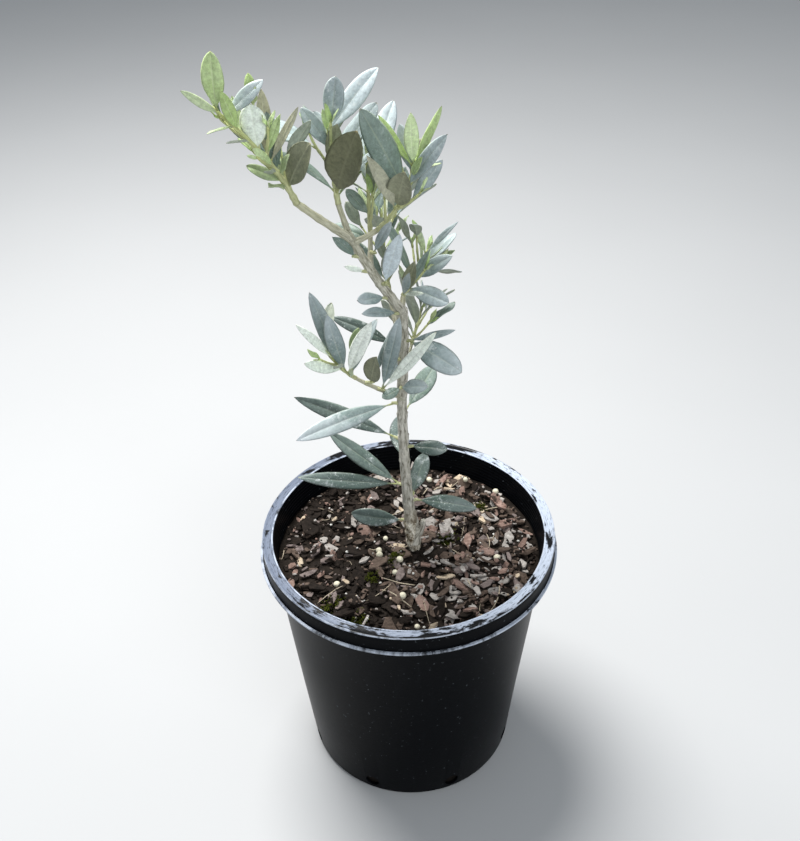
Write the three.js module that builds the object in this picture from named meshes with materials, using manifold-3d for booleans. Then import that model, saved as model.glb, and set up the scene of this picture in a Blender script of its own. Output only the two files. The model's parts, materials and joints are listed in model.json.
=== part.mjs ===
// A young olive tree in a round black nursery pot.
// Millimetres, +Z up. The origin is the middle of the pot's flat underside, and the front faces -Y.

import * as THREE from 'three';
import { mergeVertices } from 'three/addons/utils/BufferGeometryUtils.js';
import Module from 'manifold-3d';

const wasm = await Module();
wasm.setup();

// The pot: a thin tapering wall, a flat lip and a short skirt with a fine flange
const potHeight = 190;
const lipRadius = 97;
const lipWidth = 7;
const baseRadius = 73;
const wallThickness = 1.8;
const floorThickness = 2;
const skirtHeight = 13;
const skirtThickness = 1.6;
const flangeReach = 2;
const flangeThickness = 1.4;
const potSides = 48;
const drainHoles = 8;
const drainRadius = 5;
const drainMiddle = 10;
const drillLength = 12;
const drillSides = 10;
const footBevel = 2;

// The potting mix, a little below the lip
const soilLevel = 174;
const soilEdgeDrop = 1.5;
const soilLevelShare = 0.8;
const clearance = 0.3;

// The trunk: height above the start of its line, sideways and backward shift, and diameter. The line
// starts a little under the top of the mix, and the trunk is cut flat where it comes out.
const trunkStart = 170;
const trunkStations = [
  { rise: 0, x: 4.2, y: 0, diameter: 7.6 },
  { rise: 9, x: 3.5, y: 0, diameter: 9.2 },
  { rise: 22, x: 2.2, y: 0, diameter: 9.8 },
  { rise: 37, x: 0.8, y: 0, diameter: 7.6 },
  { rise: 53, x: -0.4, y: 0, diameter: 6.8 },
  { rise: 92, x: -2.1, y: 0.5, diameter: 6.4 },
  { rise: 126, x: -2.6, y: 0.5, diameter: 6.2 },
  { rise: 154, x: -1.4, y: 0, diameter: 6.7 },
  { rise: 188, x: -1.4, y: 0, diameter: 6.6 },
];
const trunkSides = 8;
const trunkRings = 20;

// Each bough springs from its parent at a share of the parent's length. It sets out at a bearing
// (degrees from +X round +Z) and a rise (degrees above the level), and turns evenly by swing and curl.
const boughs = {
  old_stub: {
    on: 'trunk', at: 0.045, bearing: -14, rise: 60,
    swing: 0, curl: 30, length: 21, base: 4.4, tip: 3.6,
  },
  left_bough: {
    on: 'trunk', at: 0.99, bearing: 195, rise: 57,
    swing: 5, curl: 9, length: 59, base: 5.6, tip: 4.8,
  },
  left_outer_bough: {
    on: 'left_bough', at: 0.98, bearing: 195, rise: 39,
    swing: 6, curl: 6, length: 38, base: 4.7, tip: 3.6,
  },
  upper_bough: {
    on: 'left_bough', at: 0.97, bearing: 140, rise: 62,
    swing: -8, curl: 6, length: 20, base: 3.4, tip: 3,
  },
  right_bough: {
    on: 'left_bough', at: 0.93, bearing: 14, rise: 18,
    swing: 6, curl: 10, length: 15, base: 3.4, tip: 2.8,
  },
  inner_bough: {
    on: 'left_bough', at: 0.58, bearing: 92, rise: 52,
    swing: -8, curl: 18, length: 20, base: 3.2, tip: 2.6,
  },
  leader_bough: {
    on: 'trunk', at: 0.972, bearing: 84, rise: 58,
    swing: 6, curl: -4, length: 12, base: 3.4, tip: 2.8,
  },
  back_bough: {
    on: 'trunk', at: 0.86, bearing: 112, rise: 40,
    swing: -8, curl: 16, length: 34, base: 3.4, tip: 2.6,
  },
  low_left_bough: {
    on: 'trunk', at: 0.67, bearing: 199, rise: 32,
    swing: 8, curl: 12, length: 37, base: 3, tip: 2.3,
  },
  low_back_bough: {
    on: 'trunk', at: 0.74, bearing: 76, rise: 26,
    swing: -8, curl: 16, length: 24, base: 2.6, tip: 2.1,
  },
};
const boughSides = 6;
const boughStep = 6;

// Each mass of foliage is a stem with twigs and pairs of leaves. Its room is the reach round its middle.
const masses = {
  foliage_left_tip: {
    on: 'left_outer_bough', at: 0.98, bearing: 227, rise: 65, swing: -40, curl: -20,
    length: 68, base: 3.3, tip: 1.5, pairs: 10, twist: 50,
    leaf: 36, plump: 0.4, lift: 0.8, twigs: 6, twigLength: 18, twigPairs: 2, room: 80, seed: 5,
  },
  foliage_upper: {
    on: 'upper_bough', at: 0.98, bearing: 118, rise: 68, swing: -8, curl: 19,
    length: 37, base: 2.8, tip: 1.5, pairs: 6, twist: 20,
    leaf: 41, plump: 0.42, lift: 0.5, twigs: 4, twigLength: 20, twigPairs: 2, room: 62, seed: 12,
  },
  foliage_right_top: {
    on: 'right_bough', at: 0.98, bearing: -5, rise: 46, swing: 13, curl: 36,
    length: 42, base: 2.6, tip: 1.4, pairs: 6, twist: 35,
    leaf: 37, plump: 0.37, lift: 0.8, twigs: 4, twigLength: 18, twigPairs: 2, room: 58, seed: 31,
  },
  foliage_inner: {
    on: 'inner_bough', at: 0.98, bearing: 97, rise: 77, swing: -3, curl: 0,
    length: 38, base: 2.4, tip: 1.3, pairs: 4, twist: 70,
    leaf: 34, plump: 0.36, lift: 0.4, twigs: 2, twigLength: 18, twigPairs: 2, room: 62, seed: 44,
  },
  foliage_centre: {
    on: 'leader_bough', at: 0.98, bearing: 43, rise: 42, swing: 6, curl: 9,
    length: 28, base: 2.6, tip: 1.3, pairs: 6, twist: 10,
    leaf: 34, plump: 0.38, lift: 0.25, twigs: 4, twigLength: 20, twigPairs: 2, room: 56, seed: 23,
  },
  foliage_back: {
    on: 'back_bough', at: 0.98, bearing: 104, rise: 52, swing: -10, curl: 16,
    length: 46, base: 2.4, tip: 1.3, pairs: 7, twist: 30,
    leaf: 38, plump: 0.36, lift: 0.4, twigs: 5, twigLength: 22, twigPairs: 2, room: 66, seed: 8,
  },
  foliage_low_back: {
    on: 'low_back_bough', at: 0.98, bearing: 68, rise: 42, swing: -10, curl: 16,
    length: 22, base: 2, tip: 1.3, pairs: 4, twist: 0,
    leaf: 36, plump: 0.35, lift: 0.3, twigs: 2, twigLength: 15, twigPairs: 1, room: 48, seed: 17,
  },
  foliage_low_left: {
    on: 'low_left_bough', at: 0.98, bearing: 207, rise: 44, swing: 4, curl: 24,
    length: 22, base: 2.2, tip: 1.3, pairs: 4, twist: 80,
    leaf: 40, plump: 0.36, lift: 0.5, twigs: 3, twigLength: 14, twigPairs: 1, room: 60, seed: 3,
  },
};

// The largest leaves of a mass: share of its stem, bearing, rise, length, and width as a share of length
const mainLeaves = {
  foliage_left_tip: [
    [0.98, -85, 79, 29, 0.37], [0.95, -151, 41, 22, 0.21], [0.78, -106, 59, 25, 0.26],
    [0.92, 16, 40, 26, 0.29], [0.57, -104, 78, 24, 0.55], [0.59, 156, 50, 25, 0.35],
    [0.44, 103, 73, 35, 0.22], [0.49, -45, 62, 27, 0.18], [0.43, 9, 61, 31, 0.15],
    [0.32, 175, 84, 31, 0.28], [0.39, -107, 44, 22, 0.25], [0.16, -53, 56, 34, 0.43],
  ],
  foliage_upper: [
    [0.15, -66, 58, 47, 0.41], [0.55, -66, 68, 26, 0.36], [1.0, 8, 53, 42, 0.29],
    [0.75, 127, 53, 23, 0.39], [0.78, -176, 61, 26, 0.32],
  ],
  foliage_right_top: [
    [0.63, -148, 65, 53, 0.29], [0.98, 178, 59, 32, 0.15], [1.0, -96, 69, 32, 0.25],
    [0.89, 132, 72, 26, 0.31], [1.0, -32, 65, 36, 0.13], [0.71, -43, 55, 41, 0.22],
    [0.84, -74, 48, 21, 0.22], [0.42, -82, 52, 31, 0.44], [0.37, -112, 55, 46, 0.16],
  ],
  foliage_inner: [
    [0.92, 51, 54, 40, 0.3], [0.28, -180, 53, 19, 0.38],
  ],
  foliage_centre: [
    [0.97, -156, 73, 22, 0.2], [1.0, -23, 52, 28, 0.13], [0.41, -33, 42, 31, 0.29],
    [0.09, -24, 64, 32, 0.15], [0.09, -77, 55, 31, 0.25], [0.03, -85, 47, 30, 0.17],
    [0.21, -40, 2, 28, 0.39], [0.03, -61, 30, 22, 0.15],
  ],
  foliage_low_left: [
    [0.63, -155, 74, 52, 0.19], [0.4, -111, 67, 48, 0.21], [1.0, -145, 55, 35, 0.15],
    [0.29, -57, 62, 48, 0.19], [0.51, -143, 31, 27, 0.29],
  ],
};

// The leaves that stand alone on the trunk or a bough: the share of its length, and for each leaf
// its bearing, rise, length, arch, and width as a share of its length
const sprays = {
  leaves_foot_left: { on: 'trunk', at: 0.137, leaves: [[-179, 7, 36, 20, 0.34]] },
  leaves_foot_right: { on: 'trunk', at: 0.232, leaves: [[-9, -1, 41, 16, 0.27]] },
  leaves_foot_back: { on: 'trunk', at: 0.236, leaves: [[52, 62, 29, 14, 0.4]] },
  leaves_low_left: { on: 'trunk', at: 0.297, leaves: [[179, 4, 67, 12, 0.16], [160, 33, 57, 14, 0.2]] },
  leaves_low_back: { on: 'trunk', at: 0.383, leaves: [[98, 10, 48, 20, 0.26]] },
  leaves_middle_left: { on: 'trunk', at: 0.495, leaves: [[170, 21, 69, 10, 0.16]] },
  leaves_middle_right: { on: 'trunk', at: 0.468, leaves: [[-21, 10, 24, 16, 0.41]] },
  leaves_middle_back: { on: 'trunk', at: 0.596, leaves: [[62, 14, 50, 26, 0.26]] },
  leaves_high_left: { on: 'trunk', at: 0.645, leaves: [[-158, -7, 64, 10, 0.19]] },
  leaves_high_front: {
    on: 'trunk', at: 0.715,
    leaves: [[-58, 33, 25, 26, 0.37], [-138, 1, 14, 20, 0.48]],
  },
  leaves_upper_front: { on: 'trunk', at: 0.82, leaves: [[-131, -39, 13, 30, 0.44]] },
  leaves_upper_back: { on: 'trunk', at: 0.855, leaves: [[168, 25, 42, 14, 0.21]] },
  leaves_drooping_right: {
    on: 'trunk', at: 0.885,
    leaves: [[-49, 0, 38, 40, 0.4], [-17, 23, 29, 10, 0.16]],
  },
  leaves_neck: { on: 'trunk', at: 0.985, leaves: [[-133, 29, 26, 24, 0.25]] },
  leaves_bough_low: { on: 'left_bough', at: 0.2, leaves: [[-140, 21, 19, 16, 0.4]] },
  leaves_bough_front: { on: 'left_bough', at: 0.4, leaves: [[-56, 66, 38, 10, 0.25]] },
  leaves_bough_middle: { on: 'left_bough', at: 0.56, leaves: [[-147, 28, 14, 10, 0.22]] },
  leaves_bough_high: { on: 'left_bough', at: 0.76, leaves: [[-136, 49, 21, 14, 0.26]] },
  leaves_inner: { on: 'inner_bough', at: 0.5, leaves: [[-62, 55, 30, 12, 0.2]] },
  leaves_twig_low: {
    on: 'low_left_bough', at: 0.78,
    leaves: [[-82, 55, 29, 20, 0.39], [28, 65, 42, 10, 0.11]],
  },
  leaves_twig_high: {
    on: 'low_left_bough', at: 0.5,
    leaves: [[-59, 71, 58, 12, 0.16], [-43, 53, 66, 8, 0.11]],
  },
};
const spurLength = 7;
const spurBase = 2;
const spurTip = 1.5;

// The leaf: share of its length, and half width there as a share of the half width of the blade
const leafOutline = [
  { at: 0.34, width: 0.92 },
  { at: 0.72, width: 0.88 },
];
const leafSpine = 0.75;
const stalkRadius = 0.65;
const tipRadius = 0.3;
const leafFold = 0.16;

// Rules of growth
const turnPerNode = 90;
const firstNode = 0.16;
const lastNode = 0.96;
const spreadAtFoot = 56;
const spreadAtTip = 24;
const twigSpread = 48;
const twigLift = 0.35;
const leafCrowding = 0.85;
const shortening = 0.3;
const youngShare = 0.6;
const youngSpread = 15;
const mainArch = 14;
const turnedOut = 0.6;
const backward = 0.35;
const twigFirstNode = 0.55;
const twigLeafShare = 0.82;
const twigBaseShare = 1.1;
const twigTipShare = 0.8;
const loneRank = 0.6;
const youngPlump = 0.8;
const leafApart = 3;
const limbApart = 1.4;
const limbMarks = 12;

const radians = THREE.MathUtils.degToRad;
const lerp = THREE.MathUtils.lerp;
const skyward = new THREE.Vector3(0, 0, 1);
const openFront = new THREE.Vector3(0, -0.75, 0.66);

// Seeded draws between two values, the same on every run
function dice(seed) {
  let state = seed * 7919 + 17;
  return (low, high) => {
    state = (state * 16807) % 2147483647;
    return low + ((high - low) * state) / 2147483647;
  };
}

// A unit direction from its bearing and its rise, in degrees
function heading(bearing, rise) {
  const level = Math.cos(radians(rise));
  const x = level * Math.cos(radians(bearing));
  const y = level * Math.sin(radians(bearing));
  return new THREE.Vector3(x, y, Math.sin(radians(rise)));
}

// The part of a direction that stands square on an axis, as a unit direction
function squareTo(direction, axis) {
  return direction.clone().addScaledVector(axis, -direction.dot(axis)).normalize();
}

// A closed solid through a row of rings, each with its middle, its two half sizes and their directions
function loft(rings, sides) {
  const spans = rings.length - 1;
  const tube = new THREE.CylinderGeometry(1, 1, 1, sides, spans);
  const points = tube.getAttribute('position');
  for (let i = 0; i < points.count; i += 1) {
    const ring = rings[Math.round((0.5 - points.getY(i)) * spans)];
    const sideways = points.getX(i);
    const lifted = ring.depth * points.getZ(i) + ring.fold * Math.abs(sideways);
    const place = ring.at.clone();
    place.addScaledVector(ring.across, ring.width * sideways);
    place.addScaledVector(ring.face, lifted);
    points.setXYZ(i, place.x, place.y, place.z);
  }
  return solidFrom(tube);
}

// A three.js geometry as a solid that can be joined and cut
function solidFrom(geometry) {
  geometry.deleteAttribute('normal');
  geometry.deleteAttribute('uv');
  const merged = mergeVertices(geometry, 1e-4);
  const vertProperties = new Float32Array(merged.getAttribute('position').array);
  const triVerts = new Uint32Array(merged.index.array);
  return new wasm.Manifold(new wasm.Mesh({ numProp: 3, vertProperties, triVerts }));
}

// A limb's line: points with their direction and radius, along an even turn
function limbLine(start, limb) {
  const steps = Math.max(3, Math.ceil(limb.length / boughStep));
  const at = start.clone();
  const line = [];
  for (let i = 0; i <= steps; i += 1) {
    const share = i / steps;
    const along = heading(limb.bearing + limb.swing * share, limb.rise + limb.curl * share);
    line.push({ at: at.clone(), along, radius: lerp(limb.base, limb.tip, share) / 2 });
    at.addScaledVector(along, limb.length / steps);
  }
  return line;
}

// The trunk's line, a smooth curve through its stations
function trunkLine() {
  const middles = trunkStations.map((s) => new THREE.Vector3(s.x, s.y, trunkStart + clearance + s.rise));
  const diameters = trunkStations.map((s) => new THREE.Vector3(s.diameter, 0, 0));
  const curve = new THREE.CatmullRomCurve3(middles);
  const girth = new THREE.CatmullRomCurve3(diameters);
  const line = [];
  for (let i = 0; i <= trunkRings; i += 1) {
    const share = curve.getUtoTmapping(i / trunkRings);
    const along = i === 0 ? skyward.clone() : curve.getTangent(share);
    line.push({ at: curve.getPoint(share), along, radius: girth.getPoint(share).x / 2 });
  }
  return line;
}

// A round limb along its line, grown all round by some millimetres where a neighbour is cut by it
function limbSolid(line, sides, grown = 0) {
  let face = new THREE.Vector3(0, -1, 0.2);
  const rings = line.map((station, i) => {
    face = squareTo(face, station.along);
    const ends = i === 0 ? -grown : i === line.length - 1 ? grown : 0;
    const at = station.at.clone().addScaledVector(station.along, ends);
    const across = new THREE.Vector3().crossVectors(face, station.along);
    const size = station.radius + grown;
    return { at, across, face, width: size, depth: size, fold: 0 };
  });
  return loft(rings, sides);
}

// The point and direction at a share of a line
function alongLine(line, share) {
  const place = share * (line.length - 1);
  const before = Math.min(Math.floor(place), line.length - 2);
  const part = place - before;
  const at = line[before].at.clone().lerp(line[before + 1].at, part);
  const along = line[before].along.clone().lerp(line[before + 1].along, part).normalize();
  return { at, along };
}

// The direction of a leaf or twig that leaves a shoot at an angle round it and a spread from it
function leaving(along, round, spread) {
  const upright = Math.abs(along.z) > 0.995 ? new THREE.Vector3(0, 1, 0) : skyward;
  const above = squareTo(upright, along);
  const out = new THREE.Vector3().crossVectors(along, above).multiplyScalar(Math.cos(radians(round)));
  out.addScaledVector(above, Math.sin(radians(round)));
  const spreadOut = out.multiplyScalar(Math.sin(radians(spread)));
  return spreadOut.addScaledVector(along, Math.cos(radians(spread))).normalize();
}

// A leaf's upper face looks along its shoot, and turns out to the open front or back of the crown
function upperFace(shootAlong, along) {
  const face = squareTo(shootAlong, along);
  face.y += along.y > backward ? turnedOut : -turnedOut;
  return squareTo(face, along);
}

// A leaf's midrib: it starts on the shoot and arches back from its upper face
function leafLine(leaf) {
  const at = leaf.root.clone();
  const hinge = new THREE.Vector3().crossVectors(leaf.face, leaf.along).normalize();
  const shares = [0, ...leafOutline.map((o) => o.at), 1];
  return shares.map((share, i) => {
    const middle = i === 0 ? 0 : (share + shares[i - 1]) / 2;
    const step = i === 0 ? 0 : share - shares[i - 1];
    const along = leaf.along.clone().applyAxisAngle(hinge, radians(leaf.arch * middle));
    const face = leaf.face.clone().applyAxisAngle(hinge, radians(leaf.arch * share));
    at.addScaledVector(along, step * leaf.length);
    return { at: at.clone(), along, face, across: hinge, share };
  });
}

// The blade, a thin four-sided solid folded a little along the midrib
function leafSolid(leaf) {
  const half = (leaf.length * leaf.plump) / 2;
  const rings = leafLine(leaf).map((place, i, all) => {
    const inBlade = i > 0 && i < all.length - 1;
    const end = i === all.length - 1 ? tipRadius : stalkRadius;
    const width = inBlade ? half * leafOutline[i - 1].width : end;
    const depth = inBlade ? leafSpine / 2 : end;
    return { ...place, width, depth, fold: inBlade ? width * leafFold : 0 };
  });
  return loft(rings, 4);
}

// Points over the blade that stand for it where leaves are kept apart
function bladePoints(leaf) {
  const half = (leaf.length * leaf.plump) / 2;
  const hinge = new THREE.Vector3().crossVectors(leaf.face, leaf.along).normalize();
  const points = [];
  for (let tenth = 3; tenth <= 10; tenth += 1) {
    const share = tenth / 10;
    const along = leaf.along.clone().applyAxisAngle(hinge, radians((leaf.arch * share) / 2));
    const middle = leaf.root.clone().addScaledVector(along, share * leaf.length);
    for (const side of tenth < 10 ? [-0.8, -0.4, 0, 0.4, 0.8] : [0]) {
      points.push(middle.clone().addScaledVector(hinge, half * side));
    }
  }
  return points;
}

// Everything grown so far that a new leaf or twig keeps clear of, with the mass that owns it
const limbPoints = [];
const leafPoints = [];

function rememberLimb(line, owner = '') {
  for (let i = 0; i <= limbMarks; i += 1) {
    const share = i / limbMarks;
    const radius = lerp(line[0].radius, line[line.length - 1].radius, share);
    limbPoints.push({ at: alongLine(line, share).at, radius, owner });
  }
}

function rememberLeaf(points, owner) {
  leafPoints.push(...points.map((at) => ({ at, owner })));
}

// Whether points are clear of everything, but for what one owner has grown
function isFree(points, besides = null) {
  const limbs = limbPoints.filter((l) => l.owner !== besides);
  const leaves = leafPoints.filter((l) => l.owner !== besides);
  const meetsLimb = (p) => limbs.some((l) => l.at.distanceTo(p) < l.radius + limbApart);
  const meetsLeaf = (p) => leaves.some((l) => l.at.distanceTo(p) < leafApart);
  return !points.some((p) => meetsLimb(p) || meetsLeaf(p));
}

// A leaf is kept where it stays in its mass's room and clear of what grew before it
function settle(mass, leaf, besides = null) {
  const points = bladePoints(leaf);
  const middle = alongLine(mass.line, 0.5).at;
  if (points.some((p) => p.distanceTo(middle) > mass.room) || !isFree(points, besides)) {
    return [];
  }
  rememberLeaf(points, mass.name);
  return [leafSolid(leaf)];
}

// The largest leaves of a mass, set by their own sizes, with their upper faces to the open front.
// They may cross the mass's own twigs and leaves, which are fused with them.
function growMainLeaves(mass) {
  return (mainLeaves[mass.name] || []).flatMap(([share, bearing, rise, length, plump]) => {
    const root = alongLine(mass.line, share).at;
    const along = heading(bearing, rise);
    const face = squareTo(openFront, along);
    return settle(mass, { root, along, face, length, arch: mainArch, plump }, mass.name);
  });
}

// The pairs of leaves along one shoot, each pair square to the one below, with a young pair at the tip
function growLeaves(mass, shoot, draw) {
  const grown = [];
  for (let node = 0; node <= shoot.pairs; node += 1) {
    const young = node === shoot.pairs;
    const rank = shoot.pairs > 1 ? Math.min(node / (shoot.pairs - 1), 1) : loneRank;
    const share = young ? 1 : lerp(shoot.first, lastNode, Math.pow(rank, leafCrowding));
    const place = alongLine(shoot.line, share);
    for (const side of [0, 180]) {
      const size = mass.leaf * shoot.scale * (young ? youngShare : 1 - shortening * rank * rank);
      const length = size * draw(0.86, 1.12);
      const spread = (young ? youngSpread : lerp(spreadAtFoot, spreadAtTip, rank)) + draw(-8, 8);
      const round = shoot.twist + turnPerNode * node + side + draw(-14, 14);
      const along = leaving(place.along, round, spread);
      along.addScaledVector(skyward, young ? mass.lift / 2 : mass.lift).normalize();
      const face = upperFace(place.along, along).applyAxisAngle(along, radians(draw(-24, 24)));
      const arch = draw(2, 30);
      const plump = mass.plump * draw(0.88, 1.14) * (young ? youngPlump : 1);
      const leaf = { root: place.at, along, face, length, arch, plump };
      grown.push(...settle(mass, leaf));
    }
  }
  return grown;
}

// The side twigs of a mass, one from each of its lower nodes, to either side in turn
function growTwigs(mass, draw) {
  const twigs = [];
  for (let node = 0; node < mass.twigs; node += 1) {
    const rank = mass.pairs > 1 ? node / (mass.pairs - 1) : 0;
    const place = alongLine(mass.line, lerp(firstNode, lastNode, Math.pow(rank, leafCrowding)));
    const round = mass.twist + turnPerNode * node + 180 * (node % 2) + draw(-12, 12);
    const toward = leaving(place.along, round, twigSpread).addScaledVector(skyward, twigLift).normalize();
    const length = mass.twigLength * draw(0.8, 1.15);
    const bearing = THREE.MathUtils.radToDeg(Math.atan2(toward.y, toward.x));
    const rise = THREE.MathUtils.radToDeg(Math.asin(toward.z));
    const curl = draw(6, 26);
    const base = mass.tip * twigBaseShare;
    const tip = mass.tip * twigTipShare;
    const twig = { bearing, rise, swing: 0, curl, length, base, tip };
    const line = limbLine(place.at, twig);
    const outer = line.slice(1).map((station) => station.at);
    if (isFree(outer.slice(1))) {
      const twist = draw(0, 90);
      twigs.push({ line, pairs: mass.twigPairs, first: twigFirstNode, scale: twigLeafShare, twist });
    }
  }
  return twigs;
}

// The radius of the pot's wall at a height, on its outside and on its inside
const lipInner = lipRadius - lipWidth;
const outside = (z) => lerp(baseRadius, lipInner + wallThickness, z / potHeight);
const inside = (z) => outside(z) - wallThickness;

// The pot, turned from its outline, with drain holes round the foot of its wall
function makePot() {
  const underLip = potHeight - wallThickness;
  const skirtFoot = potHeight - skirtHeight;
  const flangeTop = skirtFoot + flangeThickness;
  const skirtInner = lipRadius - skirtThickness;
  const outline = [
    [0, 0], [baseRadius - footBevel, 0], [outside(footBevel), footBevel], [outside(underLip), underLip],
    [skirtInner, underLip], [skirtInner, skirtFoot], [lipRadius + flangeReach, skirtFoot],
    [lipRadius + flangeReach, flangeTop], [lipRadius, flangeTop], [lipRadius, potHeight],
    [lipInner, potHeight], [inside(floorThickness), floorThickness], [0, floorThickness],
  ];
  let pot = turned(outline, potSides);
  for (let i = 0; i < drainHoles; i += 1) {
    const angle = ((i + 0.5) * 2 * Math.PI) / drainHoles;
    const drill = new THREE.CylinderGeometry(drainRadius, drainRadius, drillLength, drillSides);
    drill.rotateZ(Math.PI / 2);
    drill.translate(baseRadius, 0, drainMiddle);
    drill.rotateZ(angle);
    pot = pot.subtract(solidFrom(drill));
  }
  return pot;
}

// The potting mix that fills the pot
function makeSoil() {
  const bottom = floorThickness + clearance;
  const edge = soilLevel - soilEdgeDrop;
  const outline = [
    [0, bottom], [inside(bottom) - clearance, bottom], [inside(edge) - clearance, edge],
    [lipInner * soilLevelShare, soilLevel], [0, soilLevel],
  ];
  return turned(outline, potSides);
}

// A solid turned about the Z axis from an outline of radius and height
function turned(outline, sides) {
  const profile = outline.map(([radius, height]) => new THREE.Vector2(radius, height));
  const lathe = new THREE.LatheGeometry(profile, sides);
  lathe.rotateX(Math.PI / 2);
  return solidFrom(lathe);
}

// The largest body of a solid, without the scraps that a cut leaves
function largest(solid) {
  const bodies = solid.decompose();
  return bodies.reduce((best, body) => (body.volume() > best.volume() ? body : best));
}

const part = new THREE.Group();

function addNode(name, solid, material) {
  const mesh = solid.getMesh();
  const geometry = new THREE.BufferGeometry();
  geometry.setAttribute('position', new THREE.BufferAttribute(new Float32Array(mesh.vertProperties), 3));
  geometry.setIndex(new THREE.BufferAttribute(new Uint32Array(mesh.triVerts), 1));
  geometry.computeVertexNormals();
  const node = new THREE.Mesh(geometry, material);
  node.name = name;
  part.add(node);
}

const potPlastic = new THREE.MeshStandardMaterial({ color: 0x0f1113, roughness: 0.4, metalness: 0 });
const barkMix = new THREE.MeshStandardMaterial({ color: 0x3d322b, roughness: 0.95, metalness: 0 });
const bark = new THREE.MeshStandardMaterial({ color: 0x8d8570, roughness: 0.85, metalness: 0 });
const foliage = new THREE.MeshStandardMaterial({ color: 0x6f8272, roughness: 0.6, metalness: 0 });

addNode('pot', makePot(), potPlastic);
addNode('soil', makeSoil(), barkMix);

// The limbs, each cut clear of those that grew before it
const lines = { trunk: trunkLine() };
const clearOf = [limbSolid(lines.trunk, trunkSides, clearance)];
rememberLimb(lines.trunk);
addNode('trunk', limbSolid(lines.trunk, trunkSides).trimByPlane([0, 0, 1], soilLevel + clearance), bark);

function cutClear(solid) {
  return largest(clearOf.reduce((left, neighbour) => left.subtract(neighbour), solid));
}

for (const [name, limb] of Object.entries(boughs)) {
  const start = alongLine(lines[limb.on], limb.at).at;
  lines[name] = limbLine(start, limb);
  addNode(name, cutClear(limbSolid(lines[name], boughSides)), bark);
  clearOf.push(limbSolid(lines[name], boughSides, clearance));
  rememberLimb(lines[name]);
}

// The stems of all masses, then their twigs, then their leaves
const grownMasses = Object.entries(masses).map(([name, mass]) => {
  const line = limbLine(alongLine(lines[mass.on], mass.at).at, mass);
  rememberLimb(line, name);
  return { ...mass, name, line, draw: dice(mass.seed) };
});

for (const mass of grownMasses) {
  mass.shoots = growTwigs(mass, mass.draw);
  mass.shoots.forEach((twig) => rememberLimb(twig.line, mass.name));
}

// The sprays: a short spur on the trunk or a bough, toward its leaf or pair of leaves
const grownSprays = Object.entries(sprays).map(([name, spray], i) => {
  const place = alongLine(lines[spray.on], spray.at);
  const bearing = spray.leaves.reduce((sum, leaf) => sum + leaf[0], 0) / spray.leaves.length;
  const spur = { bearing, rise: 20, swing: 0, curl: 0, length: spurLength, base: spurBase, tip: spurTip };
  const line = limbLine(place.at, spur);
  const solids = [limbSolid(line, 4)];
  const draw = dice(i + 1);
  for (const [toward, rise, length, arch, plump] of spray.leaves) {
    const along = heading(toward, rise);
    const face = squareTo(openFront, along).applyAxisAngle(along, radians(draw(-16, 16)));
    const root = line[line.length - 2].at;
    const leaf = { root, along, face, length, arch, plump };
    rememberLeaf(bladePoints(leaf), name);
    solids.push(leafSolid(leaf));
  }
  return { name, solids };
});

for (const spray of grownSprays) {
  addNode(spray.name, cutClear(wasm.Manifold.union(spray.solids)), foliage);
}

for (const mass of grownMasses) {
  mass.main = growMainLeaves(mass);
}

for (const mass of grownMasses) {
  const stem = { line: mass.line, pairs: mass.pairs, first: firstNode, scale: 1, twist: mass.twist };
  const solids = [limbSolid(mass.line, 5), ...mass.main];
  for (const shoot of [stem, ...mass.shoots]) {
    if (shoot !== stem) {
      solids.push(limbSolid(shoot.line, 4));
    }
    solids.push(...growLeaves(mass, shoot, mass.draw));
  }
  addNode(mass.name, cutClear(wasm.Manifold.union(solids)), foliage);
}

export default part;
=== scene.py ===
# %% [markdown]
# # A young olive tree in its nursery pot
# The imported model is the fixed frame: every piece below is built in its place, in metres, with +Z up.
# The frame gives true positions, and this lesson adds what a viewer sees: leaf shapes, bark, plastic and
# bark mix. Lengths are written in millimetres, as a gardener would read them, and turned into metres where
# a piece is made.

import json
import math

import bpy
import numpy as np
from mathutils import Matrix, Vector, kdtree, noise

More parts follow.
